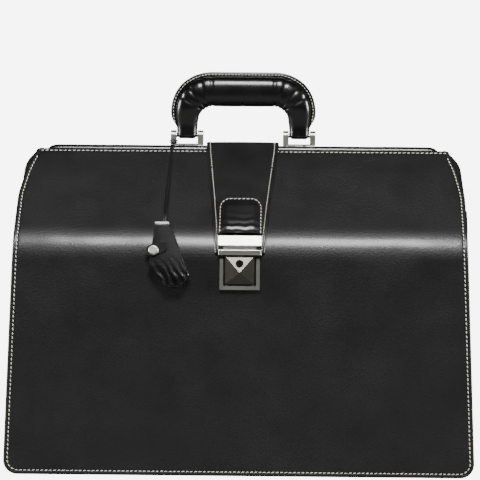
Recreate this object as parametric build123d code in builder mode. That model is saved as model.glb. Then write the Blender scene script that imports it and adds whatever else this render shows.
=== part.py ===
from build123d import *
from math import atan2, cos, degrees, hypot, radians, sin, tan
import os

# A framed doctor bag: upright panels, sloping shoulders, a two-part steel frame hinged at both ends,
# a strap and lock at the front, and a handle on the rear half of the frame.
# X runs across the bag, -Y is the front, Z is up, and the seam edges stand on Z = 0.

# ---------------------------------------------------------------- driving dimensions, millimetres
FOOT_WIDTH = 430.0          # across the panels at the foot
DEPTH = 180.0               # front panel to back panel, outside
RIM_TOP = 300.0             # top of the closed rim
RIM_HALF_DEPTH = 12.0       # front of the closed rim to the middle of the bag
RIM_HALF_WIDTH = 182.0
RIM_ROUND = 3.0
TOP_HALF_WIDTH = 189.5      # half the width of the panel where it meets the rim
SHOULDER_Z = 213.0          # where the slope would meet the upright part of the panel
SHOULDER_RADIUS = 45.0
PANEL_THICK = 3.0           # leather, board and glue together
GUSSET_THICK = 2.0
SEAM_EDGE = 4.0             # how far the panels stand past the gusset
HINGE_Z = 230.0
FOLD_GAP = 0.3              # soft parts that lie against each other
MATING_GAP = 0.3

BAR_THICK = 4.0             # frame bar, front to back
BAR_HEIGHT = 8.3
BAR_FRONT_GAP = 1.2         # each bar to the middle of the bag
BAR_COVER = 1.7             # leather over the top of the bar
LUG_RADIUS = 5.0
LUG_THICK = 3.0
PIN_DIAMETER = 4.0
PIN_FIT = 0.05              # radial, on hinge pins

STRAP_THICK = 3.0
STRAP_OFF = 1.2             # strap to panel, which clears the rounded rim
STRAP_TOP_OFF = 0.4
STRAP_TOP_HALF = 33.5
STRAP_MID_HALF = 27.4
STRAP_MID_Z = 251.0
STRAP_END_HALF = 22.5
STRAP_END_Z = 204.0
STRAP_BACK_RUN = 17.0       # down the rear slope, short enough to clear the panel when it opens
STRAP_SEWN_FROM = 5.0
TONGUE_START = 52.0         # down the front slope
CHAPE_THICK = 2.5
CHAPE_HALF = 21.0
CHAPE_TOP_Z = 253.0
CHAPE_FOOT_Z = 220.2
CHAPE_ROUND = 11.0

HASP_HALF = 20.1
HASP_HEIGHT = 10.4
HASP_THICK = 2.6
HASP_Z = 213.6
HASP_BAR_HEIGHT = 5.4
HASP_BAR_THICK = 5.0
LOCK_HALF = 18.2
LOCK_FOOT_Z = 170.0
LOCK_TOP_Z = 206.6
LOCK_PLATE_THICK = 2.5
LOCK_FRAME_TOP_Z = 198.2
LOCK_FRAME_BAR = 3.2
BUTTON_HALF = 13.6
BUTTON_TOP_Z = 201.2
BUTTON_FOOT_Z = 175.2
BUTTON_EDGE = 1.2
BUTTON_RISE = 5.0
BUTTON_APEX_Z = 185.8
KEYHOLE_Z = 194.0
ROTOR_DIAMETER = 5.0
ROTOR_FIT = 0.05            # radial

HANDLE_Y = 6.6              # middle of the rear rim
HANDLE_PIVOT_Z = RIM_TOP + 9.4
HANDLE_TOP_Z = RIM_TOP + 69.5
HANDLE_INNER_Z = RIM_TOP + 37.9
HANDLE_HALF = 64.75
HANDLE_GRIP_HALF = 10.0     # front to back
LEG_HALF = 7.0              # front to back
LEG_X = 52.4
LEG_WIDTH = 18.8
WELT_WIDTH = 5.0
WELT_THICK = 4.0
EAR_THICK = 5.2
EAR_RADIUS = 4.5
BRACKET_BASE = 1.5

CORD_DIAMETER = 1.3
CORD_SPACING = 1.8
CLOCHETTE_TILT = 12.0       # it leans on the shoulder
LEAF_THICK = 1.6
LEAF_GAP = 3.2
HOLE_X = -68.7
HOLE_Z = 227.0

# ---------------------------------------------------------------- sizes that follow
HALF = DEPTH / 2
YOKE_REACH = 2.616          # past the nearest point of the slope to the hinge axis
PANEL_REACH = 6.516         # what the yoke's inner edge sweeps, and a gap
SLOPE_TOP = RIM_TOP - RIM_ROUND
LEAN = atan2(HALF - RIM_HALF_DEPTH, SLOPE_TOP - SHOULDER_Z)
BAR_TOP = RIM_TOP - BAR_COVER
ARM_X = 192.0               # middle of each frame arm at the hinge
PANEL_CORNER_X, PANEL_CORNER_Z = 205.3, 255.0
PANEL_LEAN = (FOOT_WIDTH / 2 - PANEL_CORNER_X) / PANEL_CORNER_Z
PIN_END_GAP = 0.45          # the gusset leans, so the cap stands off its face
PIN_END_X = FOOT_WIDTH / 2 - PANEL_LEAN * HINGE_Z - SEAM_EDGE + PIN_END_GAP
PIN_CAP_THICK = 0.8
CHEEK_X = 196.0
CHEEK_THICK = 1.6


def slope(run, inset=0.0):
    """Point (Y, Z) on the front slope: run down it from the rim, inset from its outer face."""
    return (
        -RIM_HALF_DEPTH - run * sin(LEAN) + inset * cos(LEAN),
        SLOPE_TOP - run * cos(LEAN) - inset * sin(LEAN),
    )


def hinge_reach(inset):
    """How near the hinge axis the slope comes, for a face at that inset."""
    y, z = slope(0, inset)
    return abs(y * cos(LEAN) - (z - HINGE_Z) * sin(LEAN))


def run_past_hinge(extra, inset):
    """How far down the slope a face is, where it is that much farther from the hinge axis than at its nearest."""
    y, z = slope(0, inset)
    foot = y * sin(LEAN) + (z - HINGE_Z) * cos(LEAN)
    nearest = hinge_reach(inset)
    return foot + ((nearest + extra) ** 2 - nearest**2) ** 0.5


YOKE_RUN = run_past_hinge(YOKE_REACH, 0.0)
PANEL_RUN = run_past_hinge(PANEL_REACH, PANEL_THICK)
print(f"slope {degrees(LEAN):.1f} deg, yoke ends {YOKE_RUN:.1f}, panel starts {PANEL_RUN:.1f} down it")


# ---------------------------------------------------------------- shared outlines
def front_outline(inset=0.0):
    """The bag seen from the front, set in from the panel's edge."""
    corner_x, corner_z = PANEL_CORNER_X, PANEL_CORNER_Z
    with BuildSketch(Plane.XZ) as outline:
        Polygon(
            (-FOOT_WIDTH / 2, 0),
            (FOOT_WIDTH / 2, 0),
            (corner_x, corner_z),
            (200, 276),
            (TOP_HALF_WIDTH, RIM_TOP),
            (-TOP_HALF_WIDTH, RIM_TOP),
            (-200, 276),
            (-corner_x, corner_z),
            align=None,
        )
        corners = outline.vertices()
        fillet(corners.filter_by(lambda v: v.Y < 1), radius=13.5)
        fillet(outline.vertices().filter_by(lambda v: 250 < v.Y < 280), radius=50)
        if inset:
            offset(amount=-inset, kind=Kind.INTERSECTION)
    return outline.sketch


def wrap_band(low_z, high_run, inside, outside):
    """Section of a sheet over the shoulder, between two distances out from the panel's face."""
    with BuildSketch(Plane.YZ) as band:
        with BuildLine():
            edges = []
            for out in (outside, inside):
                corner = (-HALF - out, SHOULDER_Z + out * tan(LEAN / 2))
                points = ((-HALF - out, low_z), corner, slope(high_run, -out))
                edges.append(FilletPolyline(*points, radius=SHOULDER_RADIUS + out))
            Line(edges[0] @ 0, edges[1] @ 0)
            Line(edges[0] @ 1, edges[1] @ 1)
        make_face()
    return band.sketch


def side_polygon(*points):
    """A closed outline in the YZ plane."""
    with BuildSketch(Plane.YZ) as section:
        Polygon(*points, align=None)
    return section.sketch


def save(piece, label):
    """Label a finished piece and write it."""
    piece.part.label = label
    export_step(piece.part, f"parts/{label}.step")


def save_mirrored(piece, label, plane):
    """Write the mirror image of a piece."""
    with BuildPart() as image:
        mirror(piece.part, about=plane)
    save(image, label)
    return image


os.makedirs("parts", exist_ok=True)
ACROSS = FOOT_WIDTH  # longer than anything it cuts

# ---------------------------------------------------------------- lock positions shared by panel and lock
RIVET_X = 12.0
RIVET_ZS = (173.0, 193.0)
RIVET_DIAMETER = 3.0
RIVET_FIT = 0.1
LOCK_Z = (LOCK_FOOT_Z + LOCK_TOP_Z) / 2
STEM_HALF_WIDTH = 3.0
STEM_HALF_HEIGHT = 4.0
BUTTON_TRAVEL = 3.5
STEM_Z = 186.0
RIVET_PLACES = [(x, z) for x in (-RIVET_X, RIVET_X) for z in RIVET_ZS]


def lock_holes():
    """Rivet holes and the slot for the button's stem, drawn in front of the panel."""
    with BuildSketch(Plane.XZ.offset(HALF + 10)) as holes:
        with Locations(*RIVET_PLACES):
            Circle(RIVET_DIAMETER / 2 + RIVET_FIT)
        with Locations((0, STEM_Z - BUTTON_TRAVEL / 2)):
            Rectangle(2 * STEM_HALF_WIDTH + 0.6, 2 * STEM_HALF_HEIGHT + BUTTON_TRAVEL + 0.6)
    return holes.sketch


# ---------------------------------------------------------------- leather body
with BuildPart() as front_panel:
    extrude(wrap_band(0, PANEL_RUN, -PANEL_THICK, 0), amount=ACROSS, both=True)
    extrude(front_outline(), amount=ACROSS, both=True, mode=Mode.INTERSECT)
    extrude(lock_holes(), amount=-14, mode=Mode.SUBTRACT)
save(front_panel, "front_panel")

with BuildPart() as back_panel:
    extrude(wrap_band(0, PANEL_RUN, -PANEL_THICK, 0), amount=ACROSS, both=True)
    extrude(front_outline(), amount=ACROSS, both=True, mode=Mode.INTERSECT)
    mirror(about=Plane.XZ, mode=Mode.REPLACE)
save(back_panel, "back_panel")

BASE_TOP = 20.0             # the base leather turns up to this height
GUSSET_TOP = slope(PANEL_RUN, PANEL_THICK)
with BuildPart() as skirt:
    extrude(front_outline(SEAM_EDGE), amount=HALF - PANEL_THICK, both=True)
    extrude(front_outline(SEAM_EDGE + GUSSET_THICK), amount=HALF, both=True, mode=Mode.SUBTRACT)

with BuildPart() as base_panel:
    add(skirt.part)
    split(bisect_by=Plane.XY.offset(BASE_TOP), keep=Keep.BOTTOM)
save(base_panel, "base_panel")

GUSSET_DIP = 240.0          # top edge of the gusset at the hinge
with BuildPart() as gusset_right:
    add(skirt.part)
    split(bisect_by=Plane.XY.offset(BASE_TOP), keep=Keep.TOP)
    split(bisect_by=Plane.YZ.offset(150), keep=Keep.TOP)
    with BuildSketch(Plane.YZ) as gusset_side:
        inner = HALF - PANEL_THICK
        shoulder = (inner, SHOULDER_Z - PANEL_THICK * tan(LEAN / 2))
        top = (-GUSSET_TOP[0], GUSSET_TOP[1])
        Polygon(
            (-inner, 0),
            (-shoulder[0], shoulder[1]),
            (-top[0], top[1]),
            (0, GUSSET_DIP),
            top,
            shoulder,
            (inner, 0),
            align=None,
        )
        bends = gusset_side.vertices().filter_by(lambda v: 200 < v.Y < 220)
        fillet(bends, radius=SHOULDER_RADIUS - PANEL_THICK)
    extrude(amount=ACROSS, mode=Mode.INTERSECT)
    with Locations((ARM_X, 0, HINGE_Z)):
        Cylinder(PIN_DIAMETER / 2 + PIN_FIT, 60, rotation=(0, 90, 0), mode=Mode.SUBTRACT)
save(gusset_right, "gusset_right")
gusset_left = save_mirrored(gusset_right, "gusset_left", Plane.YZ)

LINING_THICK = 1.0
LINING_TOP = 190.0
BOARD_THICK = 2.5
BOARD_Z = SEAM_EDGE + GUSSET_THICK
with BuildPart() as front_lining:
    with BuildSketch(Plane.XZ.offset(HALF - PANEL_THICK - LINING_THICK)):
        with Locations((0, (BOARD_Z + BOARD_THICK + LINING_TOP) / 2)):
            Rectangle(2 * 200.0, LINING_TOP - BOARD_Z - BOARD_THICK)
    extrude(amount=LINING_THICK)
    extrude(lock_holes(), amount=-15, mode=Mode.SUBTRACT)
save(front_lining, "front_lining")

with BuildPart() as back_lining:
    with Locations((0, HALF - PANEL_THICK - LINING_THICK / 2, (BOARD_Z + BOARD_THICK + LINING_TOP) / 2)):
        Box(2 * 200.0, LINING_THICK, LINING_TOP - BOARD_Z - BOARD_THICK)
save(back_lining, "back_lining")

with BuildPart() as base_board:
    with Locations((0, 0, BOARD_Z + BOARD_THICK / 2)):
        Box(2 * 200.0, DEPTH - 2 * PANEL_THICK - 2 * MATING_GAP, BOARD_THICK)
save(base_board, "base_board")

POCKET_WIDTH, POCKET_HEIGHT, POCKET_DEPTH, POCKET_WALL, POCKET_Z = 220.0, 120.0, 5.0, 1.2, 110.0
with BuildPart() as inner_pocket:
    pocket_back = HALF - PANEL_THICK - LINING_THICK
    with Locations((0, pocket_back - POCKET_DEPTH / 2, POCKET_Z)):
        Box(POCKET_WIDTH, POCKET_DEPTH, POCKET_HEIGHT)
    with Locations((0, pocket_back - POCKET_DEPTH / 2, POCKET_Z + POCKET_WALL)):
        inner_size = (POCKET_WIDTH - 2 * POCKET_WALL, POCKET_DEPTH - 2 * POCKET_WALL, POCKET_HEIGHT)
        Box(*inner_size, mode=Mode.SUBTRACT)
save(inner_pocket, "inner_pocket")


# ---------------------------------------------------------------- frame halves
def frame_outline(grow=0.0):
    """The frame bar seen from the front, with the corners of its outer edge rounded."""
    arm_foot = HINGE_Z + LUG_RADIUS + 0.8
    with BuildSketch(Plane.XZ) as outline:
        Polygon(
            (-ARM_X - 4, arm_foot),
            (-RIM_HALF_WIDTH, BAR_TOP),
            (RIM_HALF_WIDTH, BAR_TOP),
            (ARM_X + 4, arm_foot),
            align=None,
        )
        fillet(outline.vertices().filter_by(lambda v: v.Y > 290), radius=12)
        if grow:
            offset(amount=grow)
    return outline.sketch


def frame_bar(lug_middle):
    """One steel half of the frame, in front of the middle plane, with a lug on the hinge axis."""
    with BuildPart() as bar:
        extrude(frame_outline(), amount=BAR_FRONT_GAP + BAR_THICK)
        with BuildSketch(Plane.XZ) as inner:
            inset = 8.0
            foot = HINGE_Z - 5
            Polygon(
                (-ARM_X + inset / 2, foot),
                (-RIM_HALF_WIDTH + inset, BAR_TOP - BAR_HEIGHT),
                (RIM_HALF_WIDTH - inset, BAR_TOP - BAR_HEIGHT),
                (ARM_X - inset / 2, foot),
                align=None,
            )
            fillet(inner.vertices().filter_by(lambda v: v.Y > 280), radius=6)
        extrude(amount=20, both=True, mode=Mode.SUBTRACT)
        with BuildSketch(Plane.XZ):
            with Locations((0, HINGE_Z)):
                Rectangle(3 * ACROSS, 3 * ACROSS)
        extrude(amount=BAR_FRONT_GAP, mode=Mode.SUBTRACT)
        for side in (-1, 1):
            with Locations((side * lug_middle, 0, HINGE_Z)):
                Cylinder(LUG_RADIUS, LUG_THICK, rotation=(0, 90, 0))
            neck_y = -BAR_FRONT_GAP - (BAR_THICK - 0.6) / 2
            with Locations((side * lug_middle, neck_y, HINGE_Z + LUG_RADIUS)):
                Box(LUG_THICK, BAR_THICK - 0.6, 2 * LUG_RADIUS)
        with Locations((0, 0, HINGE_Z)):
            pin_bore = PIN_DIAMETER / 2 + PIN_FIT
            Cylinder(pin_bore, 3 * ACROSS, rotation=(0, 90, 0), mode=Mode.SUBTRACT)
    return bar


front_bar = frame_bar(ARM_X + 1.7)
save(front_bar, "front_bar")
rear_shape = frame_bar(ARM_X - 1.7)
back_bar = save_mirrored(rear_shape, "back_bar", Plane.XZ)

RIM_DROP = 13.0             # how far the rim leather comes down
with BuildPart() as front_rim:
    with BuildSketch(Plane.YZ) as rim_side:
        Polygon(
            (-BAR_FRONT_GAP, RIM_TOP),
            (-RIM_HALF_DEPTH, RIM_TOP),
            (-RIM_HALF_DEPTH, RIM_TOP - RIM_DROP),
            (-BAR_FRONT_GAP - BAR_THICK, RIM_TOP - RIM_DROP),
            (-BAR_FRONT_GAP - BAR_THICK, BAR_TOP),
            (-BAR_FRONT_GAP, BAR_TOP),
            align=None,
        )
        fillet(rim_side.vertices().sort_by(Axis.X)[:2].sort_by(Axis.Y)[-1:], radius=RIM_ROUND)
    extrude(amount=ACROSS, both=True)
    extrude(frame_outline(BAR_COVER), amount=DEPTH, both=True, mode=Mode.INTERSECT)
save(front_rim, "front_rim")

SCREW_SPACING, SCREW_DIAMETER, SCREW_LENGTH = 10.0, 2.5, 9.0
SCREW_PLACES = [(side * LEG_X + x, HANDLE_Y) for side in (-1, 1) for x in (-5.0, 5.0)]
with BuildPart() as back_rim:
    mirror(front_rim.part, about=Plane.XZ)
    with BuildSketch(Plane.XY.offset(RIM_TOP)):
        with Locations(*SCREW_PLACES):
            Circle(SCREW_DIAMETER / 2 + RIVET_FIT)
    extrude(amount=-SCREW_LENGTH, mode=Mode.SUBTRACT)
save(back_rim, "back_rim")

YOKE_HALF_WIDTH = CHEEK_X + CHEEK_THICK - 0.2
with BuildPart() as front_yoke:
    tuck = (PANEL_THICK * cos(LEAN)) / sin(LEAN)
    outer_top, inner_top = slope(0), slope(tuck, PANEL_THICK)
    section = (outer_top, slope(YOKE_RUN), slope(YOKE_RUN, PANEL_THICK), inner_top)
    extrude(side_polygon(*section), amount=YOKE_HALF_WIDTH, both=True)
    extrude(front_outline(), amount=ACROSS, both=True, mode=Mode.INTERSECT)
save(front_yoke, "front_yoke")
back_yoke = save_mirrored(front_yoke, "back_yoke", Plane.XZ)

with BuildPart() as front_fold:
    high, low = YOKE_RUN + FOLD_GAP, PANEL_RUN - FOLD_GAP
    section = (slope(high), slope(low), slope(low, PANEL_THICK), slope(high, PANEL_THICK))
    extrude(side_polygon(*section), amount=YOKE_HALF_WIDTH, both=True)
    extrude(front_outline(), amount=ACROSS, both=True, mode=Mode.INTERSECT)
save(front_fold, "front_fold")
back_fold = save_mirrored(front_fold, "back_fold", Plane.XZ)

CHEEK_RADIUS = hinge_reach(PANEL_THICK) - 0.584
CHEEK_HUB = 7.0
CHEEK_LOW_ANGLE = 26.0
with BuildPart() as front_cheek_right:
    with BuildSketch(Plane.YZ.offset(CHEEK_X)):
        reach = (-CHEEK_RADIUS * cos(radians(CHEEK_LOW_ANGLE)), CHEEK_RADIUS * sin(radians(CHEEK_LOW_ANGLE)))
        middle = (-CHEEK_RADIUS * cos(radians(58)), CHEEK_RADIUS * sin(radians(58)))
        top = (-BAR_FRONT_GAP, (CHEEK_RADIUS**2 - BAR_FRONT_GAP**2) ** 0.5)
        hub = (-BAR_FRONT_GAP, CHEEK_HUB)
        with BuildLine(Location((0, HINGE_Z, 0))):
            ThreePointArc(reach, middle, top)
            Line(top, hub)
            Line(hub, reach)
        make_face()
    extrude(amount=CHEEK_THICK)
    extrude(front_outline(1.0), amount=ACROSS, both=True, mode=Mode.INTERSECT)
save(front_cheek_right, "front_cheek_right")
front_cheek_left = save_mirrored(front_cheek_right, "front_cheek_left", Plane.YZ)
back_cheek_right = save_mirrored(front_cheek_right, "back_cheek_right", Plane.XZ)
back_cheek_left = save_mirrored(front_cheek_left, "back_cheek_left", Plane.XZ)

for side, label in ((-1, "hinge_pin_left"), (1, "hinge_pin_right")):
    inner_end = ARM_X - 1.7 - LUG_THICK / 2 - 1.5
    length = PIN_END_X - inner_end
    with BuildPart() as hinge_pin:
        with Locations((side * (inner_end + length / 2), 0, HINGE_Z)):
            Cylinder(PIN_DIAMETER / 2, length, rotation=(0, 90, 0))
        with Locations((side * (inner_end + 0.6), 0, HINGE_Z)):
            Cylinder(PIN_DIAMETER / 2 + 1.2, 1.2, rotation=(0, 90, 0))
        with Locations((side * (PIN_END_X + PIN_CAP_THICK / 2), 0, HINGE_Z)):
            Cylinder(PIN_DIAMETER / 2 + 1.5, PIN_CAP_THICK, rotation=(0, 90, 0))
    save(hinge_pin, label)


# ---------------------------------------------------------------- strap
def strap_outline():
    """The strap seen from the front: it narrows twice on its way down, and clears the lock plate."""
    with BuildSketch(Plane.XZ) as outline:
        Polygon(
            (-STRAP_END_HALF, STRAP_END_Z),
            (STRAP_END_HALF, STRAP_END_Z),
            (STRAP_MID_HALF, STRAP_MID_Z),
            (STRAP_TOP_HALF, RIM_TOP),
            (STRAP_TOP_HALF, RIM_TOP + 20),
            (-STRAP_TOP_HALF, RIM_TOP + 20),
            (-STRAP_TOP_HALF, RIM_TOP),
            (-STRAP_MID_HALF, STRAP_MID_Z),
            align=None,
        )
        notch_height = LOCK_TOP_Z + 0.9 - STRAP_END_Z
        with Locations((0, STRAP_END_Z + notch_height / 2)):
            Rectangle(2 * (LOCK_HALF + 0.6), notch_height, mode=Mode.SUBTRACT)
    return outline.sketch


def run_at_height(z, inset):
    """How far down the slope a face at that inset reaches that height."""
    return (slope(0, inset)[1] - z) / cos(LEAN)


STRAP_TOP_Z = RIM_TOP + STRAP_TOP_OFF + STRAP_THICK
STRAP_OUT = STRAP_OFF + STRAP_THICK
BEND_OUTER = slope(run_at_height(STRAP_TOP_Z, -STRAP_OUT), -STRAP_OUT)
BEND_INNER = slope(run_at_height(RIM_TOP + STRAP_TOP_OFF, -STRAP_OFF), -STRAP_OFF)
print(f"strap bends at Y {BEND_OUTER[0]:.3f}, Z {BEND_OUTER[1]:.3f}")

with BuildPart() as strap_top:
    anchor_high, anchor_low = slope(STRAP_SEWN_FROM), slope(STRAP_BACK_RUN)
    rear = [
        BEND_OUTER,
        (-BEND_OUTER[0], BEND_OUTER[1]),
        (-slope(STRAP_BACK_RUN, -STRAP_OUT)[0], slope(STRAP_BACK_RUN, -STRAP_OUT)[1]),
        (-anchor_low[0], anchor_low[1]),
        (-anchor_high[0], anchor_high[1]),
        (-slope(STRAP_SEWN_FROM, -STRAP_OFF)[0], slope(STRAP_SEWN_FROM, -STRAP_OFF)[1]),
        (-BEND_INNER[0], BEND_INNER[1]),
        BEND_INNER,
    ]
    extrude(side_polygon(*rear), amount=STRAP_TOP_HALF, both=True)
save(strap_top, "strap_top")

with BuildPart() as strap_shoulder:
    flap = (
        BEND_OUTER,
        BEND_INNER,
        slope(TONGUE_START, -STRAP_OFF),
        slope(TONGUE_START, -STRAP_OUT),
    )
    extrude(side_polygon(*flap), amount=ACROSS, both=True)
    extrude(strap_outline(), amount=ACROSS, both=True, mode=Mode.INTERSECT)
save(strap_shoulder, "strap_shoulder")

TONGUE_HINGE = slope(TONGUE_START + FOLD_GAP / 2, -STRAP_OUT)
print(f"tongue hinge at Y {TONGUE_HINGE[0]:.3f}, Z {TONGUE_HINGE[1]:.3f}")
HASP_RIVET_X = 14.0
HASP_OUT = STRAP_OUT + HASP_THICK / 2
HASP_ANGLE = degrees(atan2(HASP_Z - (SHOULDER_Z - SHOULDER_RADIUS * tan(LEAN / 2)), SHOULDER_RADIUS))
ARC_Y, ARC_Z = -HALF + SHOULDER_RADIUS, SHOULDER_Z - SHOULDER_RADIUS * tan(LEAN / 2)


def hasp_plane(out):
    """Plane on the shoulder under the middle of the hasp plate, facing out."""
    turn = radians(HASP_ANGLE)
    reach = SHOULDER_RADIUS + out
    origin = (0, ARC_Y - reach * cos(turn), ARC_Z + reach * sin(turn))
    return Plane(origin=origin, x_dir=(1, 0, 0), z_dir=(0, -cos(turn), sin(turn)))


with BuildPart() as strap_tongue:
    band = wrap_band(LOCK_FOOT_Z, TONGUE_START + FOLD_GAP, STRAP_OFF, STRAP_OUT)
    extrude(band, amount=ACROSS, both=True)
    extrude(strap_outline(), amount=ACROSS, both=True, mode=Mode.INTERSECT)
    with BuildSketch(hasp_plane(STRAP_OUT + 5)):
        with Locations((-HASP_RIVET_X, 0), (HASP_RIVET_X, 0)):
            Circle(RIVET_DIAMETER / 2 + RIVET_FIT)
    extrude(amount=-12, mode=Mode.SUBTRACT)
save(strap_tongue, "strap_tongue")

with BuildPart() as strap_chape:
    band = wrap_band(LOCK_FOOT_Z, TONGUE_START + 1.0, STRAP_OUT, STRAP_OUT + CHAPE_THICK)
    extrude(band, amount=ACROSS, both=True)
    with BuildSketch(Plane.XZ) as chape_front:
        with Locations((0, (CHAPE_TOP_Z + CHAPE_FOOT_Z) / 2)):
            Rectangle(2 * CHAPE_HALF, CHAPE_TOP_Z - CHAPE_FOOT_Z)
        fillet(chape_front.vertices().sort_by(Axis.Y)[-2:], radius=CHAPE_ROUND)
    extrude(amount=ACROSS, both=True, mode=Mode.INTERSECT)
save(strap_chape, "strap_chape")

HASP_BAR_TOP = BUTTON_TOP_Z + 0.4 + HASP_BAR_HEIGHT
HASP_BAR_BACK = min(-HALF - STRAP_OUT + 0.4, -HALF - LOCK_PLATE_THICK - 1.3)
HASP_LINK = (30.0, 2.2, 5.0)
HASP_LINK_BACK = -HALF - LOCK_PLATE_THICK - MATING_GAP
with BuildPart() as hasp:
    with BuildSketch(hasp_plane(STRAP_OUT)):
        RectangleRounded(2 * HASP_HALF, HASP_HEIGHT, 1.0)
    extrude(amount=HASP_THICK)
    fillet(hasp.faces().sort_by(Axis.Y)[0].edges(), radius=0.8)
    with Locations((0, HASP_LINK_BACK - HASP_LINK[1] / 2, HASP_BAR_TOP + 0.5)):
        Box(*HASP_LINK)
    with Locations((0, HASP_BAR_BACK - HASP_BAR_THICK / 2, HASP_BAR_TOP - HASP_BAR_HEIGHT / 2)):
        Box(2 * HASP_HALF - 1, HASP_BAR_THICK, HASP_BAR_HEIGHT)
    fillet(hasp.faces().sort_by(Axis.Y)[0].edges(), radius=1.2)
    with BuildSketch(hasp_plane(STRAP_OUT - 1)):
        with Locations((-HASP_RIVET_X, 0), (HASP_RIVET_X, 0)):
            Circle(RIVET_DIAMETER / 2 + RIVET_FIT)
    extrude(amount=2.4, mode=Mode.SUBTRACT)
save(hasp, "hasp")

with BuildPart() as hasp_rivets:
    with BuildSketch(hasp_plane(STRAP_OFF)):
        with Locations((-HASP_RIVET_X, 0), (HASP_RIVET_X, 0)):
            Circle(RIVET_DIAMETER / 2)
    extrude(amount=STRAP_THICK + 1.3)
save(hasp_rivets, "hasp_rivets")

CATCH_HALF, CATCH_Z = 5.0, 202.9
with BuildPart() as hasp_catch:
    with Locations((0, HASP_BAR_BACK + 1.6, CATCH_Z)):
        Box(2 * CATCH_HALF, 3.2, 2.0)
save(hasp_catch, "hasp_catch")

# ---------------------------------------------------------------- lock
PLATE_FACE = HALF + LOCK_PLATE_THICK
FRAME_FACE = PLATE_FACE + 1.6
with BuildPart() as lock_plate:
    with BuildSketch(Plane.XZ.offset(HALF)):
        with Locations((0, LOCK_Z)):
            RectangleRounded(2 * LOCK_HALF, LOCK_TOP_Z - LOCK_FOOT_Z, 1.5)
        with Locations((0, CATCH_Z + 1.3)):
            Rectangle(2 * CATCH_HALF + 1.5, 4.8, mode=Mode.SUBTRACT)
        with Locations((0, STEM_Z - BUTTON_TRAVEL / 2)):
            slot = (2 * STEM_HALF_WIDTH + 0.6, 2 * STEM_HALF_HEIGHT + BUTTON_TRAVEL + 0.6)
            Rectangle(*slot, mode=Mode.SUBTRACT)
        with Locations(*RIVET_PLACES):
            Circle(RIVET_DIAMETER / 2 + RIVET_FIT, mode=Mode.SUBTRACT)
    extrude(amount=LOCK_PLATE_THICK)
save(lock_plate, "lock_plate")

with BuildPart() as lock_frame:
    with BuildSketch(Plane.XZ.offset(PLATE_FACE)):
        middle = (LOCK_FRAME_TOP_Z + LOCK_FOOT_Z) / 2
        height = LOCK_FRAME_TOP_Z - LOCK_FOOT_Z
        with Locations((0, middle)):
            Rectangle(2 * LOCK_HALF, height)
        with Locations((0, middle + LOCK_FRAME_BAR + 0.4)):
            Rectangle(2 * (LOCK_HALF - LOCK_FRAME_BAR), height, mode=Mode.SUBTRACT)
    extrude(amount=FRAME_FACE - PLATE_FACE)
save(lock_frame, "lock_frame")

BACKING_TOP_Z = 195.0       # below the shoulder, where the panel starts to curve
with BuildPart() as lock_backing:
    with BuildSketch(Plane.XZ.offset(HALF - PANEL_THICK - LINING_THICK - 1.2)):
        with Locations((0, (LOCK_FOOT_Z + BACKING_TOP_Z) / 2)):
            Rectangle(2 * LOCK_HALF, BACKING_TOP_Z - LOCK_FOOT_Z)
        with Locations((0, STEM_Z - BUTTON_TRAVEL / 2)):
            Rectangle(*slot, mode=Mode.SUBTRACT)
        with Locations(*RIVET_PLACES):
            Circle(RIVET_DIAMETER / 2 + RIVET_FIT, mode=Mode.SUBTRACT)
    extrude(amount=1.2)
save(lock_backing, "lock_backing")

with BuildPart() as lock_rivets:
    rivet_back = HALF - PANEL_THICK - LINING_THICK - 2.0
    with BuildSketch(Plane.XZ.offset(rivet_back)):
        with Locations(*RIVET_PLACES):
            Circle(RIVET_DIAMETER / 2)
    extrude(amount=PLATE_FACE - rivet_back)
    with BuildSketch(Plane.XZ.offset(rivet_back)):
        with Locations(*RIVET_PLACES):
            Circle(RIVET_DIAMETER / 2 + 1)
    extrude(amount=0.8)
save(lock_rivets, "lock_rivets")

BUTTON_BACK = FRAME_FACE + MATING_GAP
BUTTON_FACE = BUTTON_BACK + BUTTON_EDGE
with BuildPart() as lock_button:
    button_z = (BUTTON_TOP_Z + BUTTON_FOOT_Z) / 2
    button_height = BUTTON_TOP_Z - BUTTON_FOOT_Z
    with BuildSketch(Plane.XZ.offset(BUTTON_BACK)):
        with Locations((0, button_z)):
            Rectangle(2 * BUTTON_HALF, button_height)
    extrude(amount=BUTTON_EDGE)
    with BuildSketch(Plane.XZ.offset(BUTTON_FACE)):
        with Locations((0, button_z)):
            Rectangle(2 * BUTTON_HALF - 1.2, button_height - 1.2)
    with BuildSketch(Plane.XZ.offset(BUTTON_FACE + BUTTON_RISE)):
        with Locations((0, BUTTON_APEX_Z)):
            Rectangle(0.8, 0.8)
    loft()
    with BuildSketch(Plane.XZ.offset(BUTTON_BACK)):
        with Locations((0, KEYHOLE_Z)):
            Circle(ROTOR_DIAMETER / 2 + 1.0)
    extrude(amount=20, mode=Mode.SUBTRACT)
save(lock_button, "lock_button")

with BuildPart() as button_stem:
    with BuildSketch(Plane.XZ.offset(HALF - PANEL_THICK - LINING_THICK - 2.2)):
        with Locations((0, STEM_Z)):
            Rectangle(2 * STEM_HALF_WIDTH, 2 * STEM_HALF_HEIGHT)
    extrude(amount=BUTTON_BACK - (HALF - PANEL_THICK - LINING_THICK - 2.2))
save(button_stem, "button_stem")

KEYHOLE_FACE = BUTTON_FACE + 2.6
with BuildPart() as keyhole_ring:
    with BuildSketch(Plane.XZ.offset(BUTTON_BACK)):
        with Locations((0, KEYHOLE_Z)):
            Circle(ROTOR_DIAMETER / 2 + 1.0)
            Circle(ROTOR_DIAMETER / 2 + ROTOR_FIT, mode=Mode.SUBTRACT)
    extrude(amount=KEYHOLE_FACE - BUTTON_BACK)
save(keyhole_ring, "keyhole_ring")

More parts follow.
